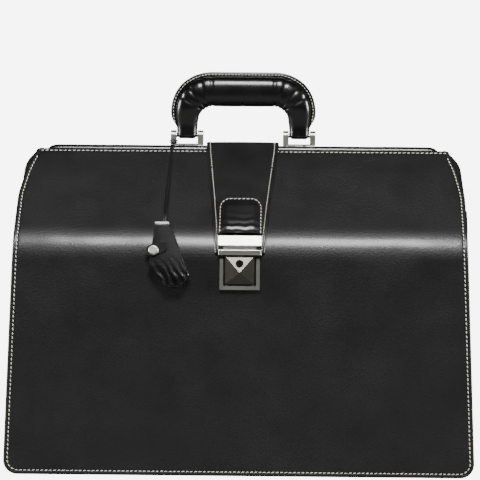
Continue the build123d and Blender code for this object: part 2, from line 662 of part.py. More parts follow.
with BuildPart() as key_rotor:
    with BuildSketch(Plane.XZ.offset(BUTTON_BACK)):
        with Locations((0, KEYHOLE_Z)):
            Circle(ROTOR_DIAMETER / 2)
    extrude(amount=KEYHOLE_FACE - 0.3 - BUTTON_BACK)
    with BuildSketch(Plane.XZ.offset(KEYHOLE_FACE)):
        with Locations((0, KEYHOLE_Z + 0.7)):
            Circle(0.9)
        with Locations((0, KEYHOLE_Z - 0.7)):
            Rectangle(0.9, 2.6)
    extrude(amount=-2.0, mode=Mode.SUBTRACT)
save(key_rotor, "key_rotor")


# ---------------------------------------------------------------- handle
def handle_arch(outer_inset, inner_inset):
    """Two arches of the handle seen from the front, joined at the feet of its legs."""
    foot = HANDLE_PIVOT_Z - 3.5
    leg_outer, leg_inner = LEG_X + LEG_WIDTH / 2, LEG_X - LEG_WIDTH / 2
    with BuildSketch(Plane.XZ) as arch:
        with BuildLine():
            wide, low = HANDLE_HALF - outer_inset, leg_outer - outer_inset
            high = HANDLE_TOP_Z - outer_inset
            arch_points = ((-low, foot), (-wide, high), (wide, high), (low, foot))
            outer = FilletPolyline(*arch_points, radius=36 - outer_inset)
            narrow = leg_inner + inner_inset
            under = HANDLE_INNER_Z + inner_inset
            inner = FilletPolyline(
                (-narrow, foot), (-narrow, under), (narrow, under), (narrow, foot), radius=17 + inner_inset
            )
            Line(outer @ 0, inner @ 0)
            Line(outer @ 1, inner @ 1)
        make_face()
    return arch.sketch


def handle_side():
    """The handle seen from the side: slim legs that widen into the padded grip."""
    y, foot = HANDLE_Y, HANDLE_PIVOT_Z - 3.5
    right = [
        (y + LEG_HALF - 1.5, foot),
        (y + LEG_HALF, foot + 3),
        (y + LEG_HALF, foot + 14),
        (y + HANDLE_GRIP_HALF, foot + 28),
        (y + HANDLE_GRIP_HALF, HANDLE_TOP_Z - 3),
        (y + HANDLE_GRIP_HALF - 5, HANDLE_TOP_Z + 3),
    ]
    left = [(2 * y - a, b) for a, b in reversed(right)]
    return side_polygon(*right, *left)


def pin_bores():
    """Bores through both legs, along the handle's pivot."""
    with BuildSketch(Plane.YZ) as bore:
        with Locations((HANDLE_Y, HANDLE_PIVOT_Z)):
            Circle(PIN_DIAMETER / 2 + PIN_FIT)
    return bore.sketch


WELT_FOOT_Z = HANDLE_PIVOT_Z + 3.5
with BuildSketch(Plane.XZ) as welt_front:
    add(handle_arch(0, 0))
    add(handle_arch(WELT_WIDTH, -3), mode=Mode.SUBTRACT)
    with Locations((0, WELT_FOOT_Z - 10)):
        Rectangle(ACROSS, 20, mode=Mode.SUBTRACT)

with BuildPart() as handle_grip:
    extrude(handle_arch(0, 0), amount=DEPTH, both=True)
    extrude(welt_front.sketch, amount=DEPTH, both=True, mode=Mode.SUBTRACT)
    extrude(handle_side(), amount=ACROSS, both=True, mode=Mode.INTERSECT)
    extrude(pin_bores(), amount=ACROSS, both=True, mode=Mode.SUBTRACT)
save(handle_grip, "handle_grip")

with BuildPart() as handle_welt:
    extrude(welt_front.sketch, amount=WELT_THICK / 2 - HANDLE_Y)
    extrude(welt_front.sketch, amount=-WELT_THICK / 2 - HANDLE_Y)
    with BuildSketch(Plane.XZ) as ahead:
        Rectangle(ACROSS, 2 * HANDLE_TOP_Z + 100)
    extrude(amount=WELT_THICK / 2 - HANDLE_Y, mode=Mode.SUBTRACT)
save(handle_welt, "handle_welt")

EAR_GAP = LEG_WIDTH + 4 * MATING_GAP
for side, word in ((-1, "left"), (1, "right")):
    ears = [side * LEG_X + way * (EAR_GAP + EAR_THICK) / 2 for way in (-1, 1)]
    with BuildPart() as bracket:
        with Locations((side * LEG_X, HANDLE_Y, RIM_TOP + BRACKET_BASE / 2)):
            Box(EAR_GAP + 2 * EAR_THICK, 2 * EAR_RADIUS + 1, BRACKET_BASE)
        for x in ears:
            with BuildSketch(Plane.YZ.offset(x)):
                with Locations((HANDLE_Y, HANDLE_PIVOT_Z)):
                    Circle(EAR_RADIUS)
                with Locations((HANDLE_Y, (HANDLE_PIVOT_Z + RIM_TOP) / 2)):
                    Rectangle(2 * EAR_RADIUS, HANDLE_PIVOT_Z - RIM_TOP)
            extrude(amount=EAR_THICK / 2, both=True)
        with BuildSketch(Plane.YZ.offset(side * LEG_X)):
            with Locations((HANDLE_Y, HANDLE_PIVOT_Z)):
                Circle(PIN_DIAMETER / 2)
        extrude(amount=EAR_GAP, both=True, mode=Mode.SUBTRACT)
        with BuildSketch(Plane.XY.offset(RIM_TOP)):
            with Locations(*SCREW_PLACES):
                Circle(SCREW_DIAMETER / 2)
        extrude(amount=BRACKET_BASE, mode=Mode.SUBTRACT)
    save(bracket, f"bracket_{word}")
    with BuildPart() as handle_pin:
        with Locations((side * LEG_X, HANDLE_Y, HANDLE_PIVOT_Z)):
            Cylinder(PIN_DIAMETER / 2, EAR_GAP + 2 * EAR_THICK, rotation=(0, 90, 0))
    save(handle_pin, f"handle_pin_{word}")

with BuildPart() as bracket_screws:
    with BuildSketch(Plane.XY.offset(RIM_TOP + BRACKET_BASE)):
        with Locations(*SCREW_PLACES):
            Circle(SCREW_DIAMETER / 2)
    extrude(amount=-SCREW_LENGTH)
save(bracket_screws, "bracket_screws")

# ---------------------------------------------------------------- lace and clochette
KNOT_RADIUS = 3.0
KNOT_X = -LEG_X - EAR_GAP / 2 - EAR_THICK / 2
KNOT_Y = HANDLE_Y - EAR_RADIUS - KNOT_RADIUS
KNOT_Z = RIM_TOP + 4.2
with BuildPart() as lace_knot:
    with Locations((KNOT_X, KNOT_Y, KNOT_Z)):
        Cylinder(KNOT_RADIUS, EAR_THICK - 0.4, rotation=(0, 90, 0))
    fillet(lace_knot.edges().filter_by(GeomType.CIRCLE), radius=1.2)
save(lace_knot, "lace_knot")


def corner_radii(points):
    """For each corner, the largest arc that its two runs allow."""
    radii = []
    for before, corner, after in zip(points, points[1:], points[2:]):
        first, second = Vector(corner) - Vector(before), Vector(after) - Vector(corner)
        half_turn = radians(first.get_angle(second)) / 2
        radii.append(0.45 * min(first.length, second.length) / tan(half_turn))
    return radii


TILT = radians(CLOCHETTE_TILT)
REST_Y = ARC_Y - (SHOULDER_RADIUS + 0.5) * cos(TILT)
REST_Z = ARC_Z + (SHOULDER_RADIUS + 0.5) * sin(TILT)
CLOCHETTE_Y = REST_Y + (HOLE_Z - REST_Z) * tan(TILT)
CLOCHETTE_THICK = 2 * LEAF_THICK + LEAF_GAP


def clochette_plane(out=0.0):
    """Plane of the clochette's rear face, moved out by that much."""
    origin = (HOLE_X, CLOCHETTE_Y - out * cos(TILT), HOLE_Z + out * sin(TILT))
    return Plane(origin=origin, x_dir=(1, 0, 0), z_dir=(0, -cos(TILT), sin(TILT)))


def clochette_point(up):
    """Point (Y, Z) midway between the leaves, that far above the clochette's hole."""
    out = LEAF_THICK + LEAF_GAP / 2
    return (
        CLOCHETTE_Y - out * cos(TILT) + up * sin(TILT),
        HOLE_Z + out * sin(TILT) + up * cos(TILT),
    )


def lace_route(shift):
    """Middle line of one strand: over the rim, then hanging to the mouth of the clochette."""
    x = KNOT_X + shift
    mouth, end = clochette_point(9.0), clochette_point(-1.5)
    return [
        (x, KNOT_Y - KNOT_RADIUS - 0.1, 303.4),
        (x - 0.2, -9.0, 303.2),
        (x - 0.5, -14.6, 298.9),
        (x - 1.0, -22.4, 290.7),
        (x - 1.8 + 0.2 * shift, -36.6, 276.8),
        (x - 2.6 + 0.5 * shift, -55.6, 259.9),
        (x - 3.2 + 0.2 * shift, -73.6, 245.6),
        (x - 3.5 - 0.1 * shift, mouth[0], mouth[1]),
        (x - 3.7 - 0.15 * shift, end[0], end[1]),
    ]


for shift, label in ((-CORD_SPACING / 2, "lace_strand_outer"), (CORD_SPACING / 2, "lace_strand_inner")):
    route = lace_route(shift)
    radii = corner_radii(route)
    print(label, "radii", [round(r, 1) for r in radii])
    with BuildPart() as strand:
        with BuildLine() as way:
            path = FilletPolyline(*route, radius=radii)
        with BuildSketch(Plane(origin=path @ 0, z_dir=path % 0)) as end:
            Circle(CORD_DIAMETER / 2)
        sweep()
    ratio = strand.part.volume / (end.sketch.area * path.length)
    print(f"{label} length {path.length:.1f}, volume to section times length {ratio:.4f}")
    save(strand, label)

FOLD_TOP, FOLD_FOOT = Vector(4.8, 3), Vector(23.5, -46)
with BuildPart() as clochette_leather:
    with BuildSketch(clochette_plane()):
        Polygon(
            (-8.5, 3),
            (FOLD_TOP.X, FOLD_TOP.Y),
            (FOLD_FOOT.X, FOLD_FOOT.Y),
            (16, -56.5),
            (3, -57),
            (-14.3, -39),
            (-10.2, -20),
            align=None,
        )
    extrude(amount=CLOCHETTE_THICK)
    along = (FOLD_FOOT - FOLD_TOP).normalized() * 12
    open_top = FOLD_TOP - along - Vector(LEAF_THICK + 0.4, 0)
    open_foot = FOLD_FOOT + along - Vector(LEAF_THICK + 0.4, 0)
    with BuildSketch(clochette_plane(LEAF_THICK)):
        Polygon((-30, 15), (open_top.X, open_top.Y), (open_foot.X, open_foot.Y), (-30, -70), align=None)
    extrude(amount=LEAF_GAP, mode=Mode.SUBTRACT)
save(clochette_leather, "clochette_leather")

SNAP_AT = (-9.5, -23.6)
with BuildPart() as clochette_tab:
    with BuildSketch(clochette_plane(CLOCHETTE_THICK)):
        with Locations((-6.8, -22.2)):
            SlotOverall(20, 11, rotation=24)
    extrude(amount=LEAF_THICK)
save(clochette_tab, "clochette_tab")

with BuildPart() as clochette_snap:
    with BuildSketch(clochette_plane(CLOCHETTE_THICK + LEAF_THICK)):
        with Locations(SNAP_AT):
            Circle(4.7)
    extrude(amount=2.2)
    fillet(clochette_snap.faces().sort_by(Axis.Y)[0].edges(), radius=1.4)
save(clochette_snap, "clochette_snap")

KEY_THICK = 1.3
for out, turn, label in ((LEAF_THICK + 0.15, 12, "key_rear"), (LEAF_THICK + KEY_THICK + 0.35, 26, "key_front")):
    with BuildPart() as key:
        with BuildSketch(clochette_plane(out)):
            with Locations(Location((-1.8, -10, 0), (0, 0, turn))):
                Circle(7)
                with Locations((0, -18)):
                    Rectangle(4.2, 26)
                with Locations((2.6, -27)):
                    Rectangle(4, 3)
                with Locations((0, 3.2)):
                    Circle(1.6, mode=Mode.SUBTRACT)
        extrude(amount=KEY_THICK)
    save(key, label)
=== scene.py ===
"""A framed doctor bag in glossy black leather: its skins, seams, strap, handle, lock and key bell."""

import logging
from dataclasses import dataclass
from enum import Enum
from math import ceil, cos, pi, radians, sin, tan
from typing import Callable

import bmesh
import bpy
from mathutils import Matrix, Vector, noise

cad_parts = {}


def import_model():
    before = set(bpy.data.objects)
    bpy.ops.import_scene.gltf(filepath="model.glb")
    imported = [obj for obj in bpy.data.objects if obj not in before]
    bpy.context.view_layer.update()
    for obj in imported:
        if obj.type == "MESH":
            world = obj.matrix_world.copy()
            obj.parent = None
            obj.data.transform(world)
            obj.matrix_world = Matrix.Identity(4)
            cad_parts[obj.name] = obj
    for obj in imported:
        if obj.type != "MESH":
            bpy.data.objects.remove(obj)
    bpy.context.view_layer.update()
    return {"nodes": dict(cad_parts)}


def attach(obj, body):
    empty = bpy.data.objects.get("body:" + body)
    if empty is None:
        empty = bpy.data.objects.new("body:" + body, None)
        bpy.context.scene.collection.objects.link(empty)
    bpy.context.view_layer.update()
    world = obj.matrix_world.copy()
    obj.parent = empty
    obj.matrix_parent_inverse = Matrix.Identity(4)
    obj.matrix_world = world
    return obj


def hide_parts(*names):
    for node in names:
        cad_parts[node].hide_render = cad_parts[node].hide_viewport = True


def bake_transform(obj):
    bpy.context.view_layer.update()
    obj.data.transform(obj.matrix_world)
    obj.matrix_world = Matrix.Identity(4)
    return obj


LOG = logging.getLogger("doctor_bag")
MM = 0.001

# short names for the types that are used most
Piece, Shape, Material = bpy.types.Object, bmesh.types.BMesh, bpy.types.Material
Tree, Node, Socket = bpy.types.NodeTree, bpy.types.Node, bpy.types.NodeSocket
Table = tuple[tuple[float, float], ...]  # pairs in millimetres
Row = tuple[Vector, Vector]  # a point on a line over the bag, and the outward normal there


# ---------------------------------------------------------------- colour and node helpers
def srgb(hex_value: str) -> tuple[float, float, float, float]:
    """Turn an sRGB hex colour into linear RGBA.

    Args:
        hex_value: Six hex digits, such as "1a1a1a".
    Returns:
        Linear red, green, blue and an alpha of 1.
    """
    channels = [int(hex_value[i : i + 2], 16) / 255 for i in (0, 2, 4)]
    linear = [c / 12.92 if c <= 0.04045 else ((c + 0.055) / 1.055) ** 2.4 for c in channels]
    return (*linear, 1.0)


def add_node(tree: Tree, kind: str, links: dict | None = None, **settings) -> Node:
    """Add one node, set its properties and inputs, and link its inputs.

    Args:
        tree: The node tree to add to.
        kind: The node's type name.
        links: Input name or index to the output socket that feeds it.
        settings: Properties of the node, or values of its inputs by name with spaces as underscores.
    Returns:
        The new node.
    """
    node = tree.nodes.new(kind)
    for name, value in settings.items():
        if hasattr(node, name):
            setattr(node, name, value)
        else:
            node.inputs[name.replace("_", " ")].default_value = value
    for name, output in (links or {}).items():
        tree.links.new(output, node.inputs[name])
    return node


def noise_of(tree: Tree, place: Socket, size: float, detail: float) -> Node:
    """Noise over features of that size in metres."""
    return add_node(tree, "ShaderNodeTexNoise", {"Vector": place}, Scale=1 / size, Detail=detail)


def spread_of(tree: Tree, value: Socket, **span: float) -> Socket:
    """An output's values spread over another range."""
    return add_node(tree, "ShaderNodeMapRange", {"Value": value}, **span).outputs["Result"]


def roughen(tree: Tree, shader: Node, height: Socket, strength: float, depth: float) -> None:
    """Add a bump to a shader, on top of any it has.

    Args:
        tree: The material's node tree.
        shader: Its Principled shader.
        height: The output that runs from 0 to 1 over the bump.
        strength: How much of the bump shows.
        depth: Its full height in metres.
    """
    normal = shader.inputs["Normal"]
    inputs = {"Height": height}
    if normal.links:
        inputs["Normal"] = normal.links[0].from_socket
    bump = add_node(tree, "ShaderNodeBump", inputs, Strength=strength, Distance=depth)
    tree.links.new(bump.outputs["Normal"], normal)


def two_tone(tree: Tree, shader: Node, share: Socket, low: str, high: str) -> None:
    """Colour a shader between two hex colours.

    Args:
        tree: The material's node tree.
        shader: Its Principled shader.
        share: The output that runs between the colours.
        low: Colour where the share is 0.
        high: Colour where it is 1.
    """
    ramp = add_node(tree, "ShaderNodeValToRGB", {"Fac": share})
    for stop, colour in zip(ramp.color_ramp.elements, (low, high)):
        stop.color = srgb(colour)
    tree.links.new(ramp.outputs["Color"], shader.inputs["Base Color"])


def new_material(name: str) -> tuple[Material, Tree, Node, Socket]:
    """A material with only a surface shader.

    Args:
        name: The material's name.
    Returns:
        The material, its node tree, its Principled shader and the place of each point.
    """
    material = bpy.data.materials.new(name)
    material.use_nodes = True
    tree = material.node_tree
    place = add_node(tree, "ShaderNodeTexCoord").outputs["Object"]
    return material, tree, tree.nodes["Principled BSDF"], place


# ---------------------------------------------------------------- finishes
class LeatherUse(Enum):
    """Which part of the bag a leather covers, as hides are worked differently there."""

    PANEL = "panel"
    STRAP = "strap"
    ROLL = "roll"
    BELL = "bell"


@dataclass(frozen=True)
class GlazedCalf:
    """Glazed black calf leather: milled to a fine pebble, then polished, so it mirrors softly."""

    use: LeatherUse
    pebble_mm: float = 1.5
    pore_mm: float = 0.28
    depth_mm: float = 0.24
    roughness: float = 0.46

    def make(self) -> Material:
        """Build the material."""
        material, tree, shader, place = new_material(f"glazed_calf_{self.use.value}")
        # pebble: cells about a millimetre across, softened by milling
        warp = noise_of(tree, place, 4 * self.pebble_mm * MM, 2.0)
        ends = {"A": place, "B": warp.outputs["Color"]}
        shift = add_node(tree, "ShaderNodeMix", ends, data_type="VECTOR")
        shift.inputs["Factor"].default_value = 0.0006
        pebble = add_node(
            tree,
            "ShaderNodeTexVoronoi",
            {"Vector": shift.outputs[1]},
            feature="SMOOTH_F1",
            Scale=1 / (self.pebble_mm * MM),
            Smoothness=0.6,
        )
        pores = noise_of(tree, place, self.pore_mm * MM, 3.0)
        # broad unevenness left by polishing, a few centimetres across
        cloud = noise_of(tree, place, 35 * MM, 4.0)
        worn = {"From_Min": 0.3, "From_Max": 0.7}
        mill = spread_of(tree, cloud.outputs["Fac"], To_Min=0.45, To_Max=1.0, **worn)
        milled = {0: pebble.outputs["Distance"], 1: mill}
        height = add_node(tree, "ShaderNodeMath", milled, operation="MULTIPLY")
        roughen(tree, shader, height.outputs[0], 0.42, self.depth_mm * MM * 2)
        roughen(tree, shader, pores.outputs["Fac"], 0.12, self.depth_mm * MM)
        two_tone(tree, shader, cloud.outputs["Fac"], "070708", "0d0c0c")
        low, high = self.roughness - 0.03, self.roughness + 0.05
        gloss = spread_of(tree, cloud.outputs["Fac"], To_Min=low, To_Max=high, **worn)
        tree.links.new(gloss, shader.inputs["Roughness"])
        shader.inputs["IOR"].default_value = 1.5
        shader.inputs["Coat Weight"].default_value = 0.55
        shader.inputs["Coat Roughness"].default_value = 0.22
        return material


@dataclass(frozen=True)
class InkedEdge:
    """The cut edge of leather, inked and burnished: layers show as faint lines and it is duller."""

    name: str = "inked_edge"
    colour: str = "1d1b1a"
    layer_mm: float = 0.7
    roughness: float = 0.5

    def make(self) -> Material:
        """Build the material."""
        material, tree, shader, place = new_material(self.name)
        fibres = noise_of(tree, place, self.layer_mm * MM, 4.0)
        roughen(tree, shader, fibres.outputs["Fac"], 0.35, 0.15 * MM)
        shader.inputs["Base Color"].default_value = srgb(self.colour)
        shader.inputs["Roughness"].default_value = self.roughness
        return material


@dataclass(frozen=True)
class LinenThread:
    """Waxed linen thread, off-white: twisted plies, matt with a slight wax sheen."""

    ply_mm: float = 0.35

    def make(self) -> Material:
        """Build the material."""
        material, tree, shader, place = new_material("waxed_linen_thread")
        plies = noise_of(tree, place, self.ply_mm * MM, 2.0)
        two_tone(tree, shader, plies.outputs["Fac"], "c4beb0", "f6f2e8")
        roughen(tree, shader, plies.outputs["Fac"], 0.4, 0.1 * MM)
        shader.inputs["Roughness"].default_value = 0.6
        return material


class MetalLook(Enum):
    """How a nickel part was finished: colour, roughness and depth of its polishing lines in mm."""

    POLISHED = ("d2d1cd", 0.12, 0.004)
    SATIN = ("cfcec9", 0.33, 0.010)
    GUN = ("65635b", 0.30, 0.012)
    DARK = ("4a4946", 0.30, 0.012)
    STEEL = ("9b9a97", 0.34, 0.015)
    KEY = ("b5b1a6", 0.24, 0.010)


@dataclass(frozen=True)
class NickelPlate:
    """Nickel plate over brass or steel: buffed one way, so fine lines streak its reflections."""

    look: MetalLook
    line_mm: float = 0.18

    def make(self) -> Material:
        """Build the material."""
        colour, roughness, depth = self.look.value
        material, tree, shader, place = new_material(f"nickel_{self.look.name.lower()}")
        stretch = add_node(tree, "ShaderNodeMapping", {"Vector": place}, Scale=(0.06, 1.0, 1.0))
        lines = noise_of(tree, stretch.outputs[0], self.line_mm * MM, 3.0)
        roughen(tree, shader, lines.outputs["Fac"], 0.25, depth * MM)
        smear = noise_of(tree, place, 6 * MM, 3.0)
        rough = spread_of(tree, smear.outputs["Fac"], To_Min=roughness - 0.04, To_Max=roughness + 0.06)
        tree.links.new(rough, shader.inputs["Roughness"])
        shader.inputs["Base Color"].default_value = srgb(colour)
        shader.inputs["Metallic"].default_value = 1.0
        return material


@dataclass(frozen=True)
class NappedLining:
    """Napped pigskin lining, dark brown: a fibrous surface with a soft sheen at grazing angles."""

    nap_mm: float = 0.5

    def make(self) -> Material:
        """Build the material."""
        material, tree, shader, place = new_material("napped_lining")
        nap = noise_of(tree, place, self.nap_mm * MM, 5.0)
        two_tone(tree, shader, nap.outputs["Fac"], "2b2420", "40362f")
        roughen(tree, shader, nap.outputs["Fac"], 0.5, 0.2 * MM)
        shader.inputs["Roughness"].default_value = 0.85
        shader.inputs["Sheen Weight"].default_value = 0.4
        return material


@dataclass(frozen=True)
class Palette:
    """Every finished material of the bag."""

    panel: Material
    strap: Material
    roll: Material
    bell: Material
    edge: Material
    thread: Material
    polished: Material
    satin: Material
    gun: Material
    dark: Material
    steel: Material
    key: Material
    lining: Material
    lace: Material

    @property
    def lined(self) -> tuple[Material, Material, Material]:
        """Lined leather: its outer face, cut edge and inner face."""
        return self.panel, self.edge, self.lining

    @classmethod
    def mixed(cls) -> "Palette":
        """Make each material once."""
        return cls(
            panel=GlazedCalf(LeatherUse.PANEL).make(),
            strap=GlazedCalf(LeatherUse.STRAP, pebble_mm=1.2, depth_mm=0.15, roughness=0.4).make(),
            roll=GlazedCalf(LeatherUse.ROLL, pebble_mm=0.7, depth_mm=0.03, roughness=0.26).make(),
            bell=GlazedCalf(LeatherUse.BELL, pebble_mm=0.9, depth_mm=0.08, roughness=0.24).make(),
            edge=InkedEdge().make(),
            thread=LinenThread().make(),
            polished=NickelPlate(MetalLook.POLISHED).make(),
            satin=NickelPlate(MetalLook.SATIN).make(),
            gun=NickelPlate(MetalLook.GUN).make(),
            dark=NickelPlate(MetalLook.DARK).make(),
            steel=NickelPlate(MetalLook.STEEL).make(),
            key=NickelPlate(MetalLook.KEY).make(),
            lining=NappedLining().make(),
            lace=InkedEdge("waxed_lace", "141312", 0.6, 0.4).make(),
        )


# ---------------------------------------------------------------- mesh helpers
def finish_mesh(bm: Shape, name: str, *materials: Material, smooth: bool = True) -> Piece:
    """Turn a bmesh into an object at the origin.

    Args:
        bm: The shape, in metres and in place; it is freed.
        name: The object's name.
        materials: Its materials, in slot order.
        smooth: Whether its faces are shaded smooth.
    Returns:
        The new object.
    """
    mesh = bpy.data.meshes.new(name)
    for face in bm.faces:
        face.smooth = smooth
    bm.to_mesh(mesh)
    bm.free()
    piece = bpy.data.objects.new(name, mesh)
    bpy.context.collection.objects.link(piece)
    for material in materials:
        mesh.materials.append(material)
    return piece


def mapped_grid(columns: int, rows: int, place: Callable[[float, float], Vector]) -> Shape:
    """A grid whose unit square is laid on a surface.

    Args:
        columns: Faces across.
        rows: Faces up.
        place: Gives the point for across and up, each from 0 to 1.
    Returns:
        The shape.
    """
    bm = bmesh.new()
    bmesh.ops.create_grid(bm, x_segments=columns, y_segments=rows, size=0.5)
    for vert in bm.verts:
        vert.co = place(vert.co.x + 0.5, vert.co.y + 0.5)
    return bm


def lofted(rings: list[tuple[Matrix, float, float, float]], sides: int) -> Shape:
    """A closed tube through rounded sections.

    Args:
        rings: For each section its place, half width, half height and squareness from 0 to 1.
        sides: Points round each section.
    Returns:
        The shape, capped at both ends.
    """
    bm = bmesh.new()
    loops = []
    for place, half_wide, half_high, square in rings:
        made = bmesh.ops.create_circle(bm, segments=sides, radius=1.0, cap_ends=False)
        verts = made["verts"]
        for vert in verts:
            power = 1.0 - 0.62 * square
            x, y = vert.co.x, vert.co.y
            grown = (abs(x) ** power * (1 if x >= 0 else -1), abs(y) ** power * (1 if y >= 0 else -1))
            vert.co = place @ Vector((grown[0] * half_wide, grown[1] * half_high, 0))
        loops.append([edge for edge in bm.edges if edge.verts[0] in verts and edge.verts[1] in verts])
    for low, high in zip(loops, loops[1:]):
        bmesh.ops.bridge_loops(bm, edges=low + high)
    for rim in (loops[0], loops[-1]):
        bmesh.ops.contextual_create(bm, geom=rim)
    bmesh.ops.recalc_face_normals(bm, faces=bm.faces)
    return bm


def block(low: Vector, high: Vector, bevel: float) -> Shape:
    """A block with rounded edges.

    Args:
        low: Its lowest corner.
        high: Its highest corner.
        bevel: The radius of its edges.
    Returns:
        The shape.
    """
    bm = bmesh.new()
    place = Matrix.Translation((high + low) / 2) @ Matrix.Diagonal((*(high - low), 1))
    bmesh.ops.create_cube(bm, size=1.0, matrix=place)
    look = {"segments": 3, "profile": 0.5, "affect": "EDGES", "material": -1}
    bmesh.ops.bevel(bm, geom=bm.edges[:], offset=bevel, **look)
    return bm


def thicker(piece: Piece, thickness: float, rim_slot: int = 0) -> None:
    """Give a sheet its thickness, inward from its outer face.

    Args:
        piece: The sheet.
        thickness: In metres.
        rim_slot: How many material slots further on its cut edge is.
    """
    modifier = piece.modifiers.new("thickness", "SOLIDIFY")
    modifier.thickness = thickness
    modifier.offset = -1.0
    modifier.use_even_offset = True
    modifier.material_offset_rim = rim_slot


@dataclass(frozen=True)
class Seam:
    """A row of saddle stitches in waxed thread, each lying slightly aslant in its line."""

    pitch: float = 3.9 * MM
    length: float = 3.0 * MM
    thread: float = 1.0 * MM
    slant: float = radians(9)

    def sew(self, bm: Shape, path: list[Vector], normals: list[Vector]) -> None:
        """Lay stitches at an even pitch along a path.

        Args:
            bm: The shape to add to.
            path: Points that the row follows.
            normals: The surface's normal at each point.
        """
        travelled, reach = 0.0, self.pitch / 2
        for start, end, normal in zip(path, path[1:], normals):
            step = (end - start).length
            while travelled + step >= reach:
                middle = start.lerp(end, (reach - travelled) / step)
                self.lay(bm, middle, (end - start).normalized(), normal)
                reach += self.pitch
            travelled += step

    def lay(self, bm: Shape, middle: Vector, along: Vector, normal: Vector) -> None:
        """Lay one stitch.

        Args:
            bm: The shape to add to.
            middle: Where its middle is.
            along: The row's direction.
            normal: The surface's normal.
        """
        across = normal.cross(along).normalized()
        aslant = (along * cos(self.slant) + across * sin(self.slant)).normalized()
        axes = Matrix((aslant, normal.cross(aslant).normalized(), normal)).transposed().to_4x4()
        size = Matrix.Diagonal((self.length / 2, self.thread / 2, self.thread / 2, 1))
        place = Matrix.Translation(middle + normal * self.thread * 0.3) @ axes @ size
        lying = place @ Matrix.Rotation(pi / 2, 4, "Y")
        bmesh.ops.create_uvsphere(bm, u_segments=6, v_segments=4, radius=1.0, matrix=lying)


# ---------------------------------------------------------------- the shape that the leather follows
@dataclass(frozen=True)
class Profile:
    """The front of the bag seen from the side: upright, shoulder arc, then a slope up to the rim."""

    half_depth: float = 90 * MM
    radius: float = 45 * MM
    lean: float = radians(42.88)
    upright: float = 195.33 * MM
    slope: float = 96.95 * MM

    @property
    def arc(self) -> float:
        """Length of the shoulder arc."""
        return self.radius * self.lean

    @property
    def length(self) -> float:
        """Length from the foot to the rim."""
        return self.upright + self.arc + self.slope

    def normal(self, along: float) -> Vector:
        """Outward normal, in Y and Z, at that length from the foot."""
        turn = min(max(along - self.upright, 0) / self.radius, self.lean)
        return Vector((0, -cos(turn), sin(turn)))

    def at(self, along: float, out: float = 0.0, x: float = 0.0) -> Vector:
        """Point at that length from the foot, moved out from the face.

        Args:
            along: Length from the foot, up the face.
            out: Distance out from the face.
            x: Place across the bag.
        Returns:
            The point.
        """
        turned = self.normal(along)
        point = Vector((x, -self.half_depth + self.radius, self.upright)) + turned * (self.radius + out)
        if along < self.upright:
            point.z += along - self.upright
        beyond = along - self.upright - self.arc
        if beyond > 0:
            point += Vector((0, sin(self.lean), cos(self.lean))) * beyond
        return point

    def along_at(self, z: float, out: float = 0.0) -> float:
        """Length from the foot at which a face moved out by that much has that height."""
        low, high = 0.0, self.length + 20 * MM
        for _ in range(30):
            middle = (low + high) / 2
            low, high = (middle, high) if self.at(middle, out).z < z else (low, middle)
        return low


PROFILE = Profile()


def stepped(table: Table, value: float) -> float:
    """Read a table of (value, result) pairs in millimetres, straight between them.

    Args:
        table: Pairs in rising order.
        value: In metres.
    Returns:
        The result in metres.
    """
    at = value / MM
    if at <= table[0][0]:
        return table[0][1] * MM
    for (low, first), (high, second) in zip(table, table[1:]):
        if at <= high:
            return (first + (second - first) * (at - low) / (high - low)) * MM
    return table[-1][1] * MM


def eased(table: Table, value: float, reach: float = 4 * MM) -> float:
    """The same table with its corners rounded, by averaging over that reach either side."""
    return sum(stepped(table, value + reach * k / 2) for k in (-2, -1, 0, 1, 2)) / 5


def smooth(low: float, high: float, value: float) -> float:
    """0 below low, 1 above high and an even turn between."""
    share = min(max((value - low) / (high - low), 0.0), 1.0)
    return share * share * (3 - 2 * share)


PANEL_SIDES = ((0, 215), (255, 205.3), (276, 200), (300, 189.5), (306, 186.9))
BULGE_SIDES = (
    (190, 208.2),
    (222, 210.2),
    (242, 209.3),
    (258, 206.4),
    (269, 204.8),
    (280, 203.3),
    (287, 199.8),
    (293, 193),
    (299, 186.3),
)
FOOT_ROUND = 13.5 * MM


def half_width(z: float, inset: float = 0.0) -> float:
    """Half the panel's width at that height, for an outline set in by that much."""
    wide = eased(PANEL_SIDES, z) - inset
    corner = FOOT_ROUND - inset
    drop = FOOT_ROUND - max(z, inset)
    if drop > 0:
        wide += (corner * corner - drop * drop) ** 0.5 - corner
    return wide


def ripple(point: Vector, seed: float, size: float) -> float:
    """Seeded smooth noise from -1 to 1, over features of that size."""
    return noise.noise(point / size + Vector((seed, seed * 0.37, -seed)))


EDGE_STEPS = tuple(d * MM for d in (0.0, 0.35, 0.9, 2.0, 3.0, 3.8, 4.6, 5.8, 8.0, 11.5))


def across_steps(inner: int) -> list[tuple[float, float]]:
    """Columns across a panel, as (share of the inner width, distance in from the edge).

    Args:
        inner: How many steps between the two edge bands.
    Returns:
        One pair for each column, from left to right; the sign of the distance is its side.
    """
    left = [(-1.0, step) for step in EDGE_STEPS]
    middle = [(-1 + 2 * i / inner, EDGE_STEPS[-1]) for i in range(1, inner)]
    right = [(1.0, step) for step in reversed(EDGE_STEPS)]
    return left + middle + right


def seam_relief(distance: float, channel: float = 3.8 * MM) -> float:
    """How far the face lies in or out near a stitched, burnished edge.

    Args:
        distance: From the cut edge.
        channel: Where the stitches are.
    Returns:
        Offset from the face.
    """
    rounding = -0.55 * MM * (1 - smooth(0, 0.9 * MM, distance))
    groove = -0.4 * MM * (1 - smooth(0, 1.1 * MM, abs(distance - channel)))
    lip = 0.18 * MM * smooth(0.4 * MM, 1.4 * MM, distance) * (1 - smooth(2.0 * MM, 3.2 * MM, distance))
    return rounding + groove + lip


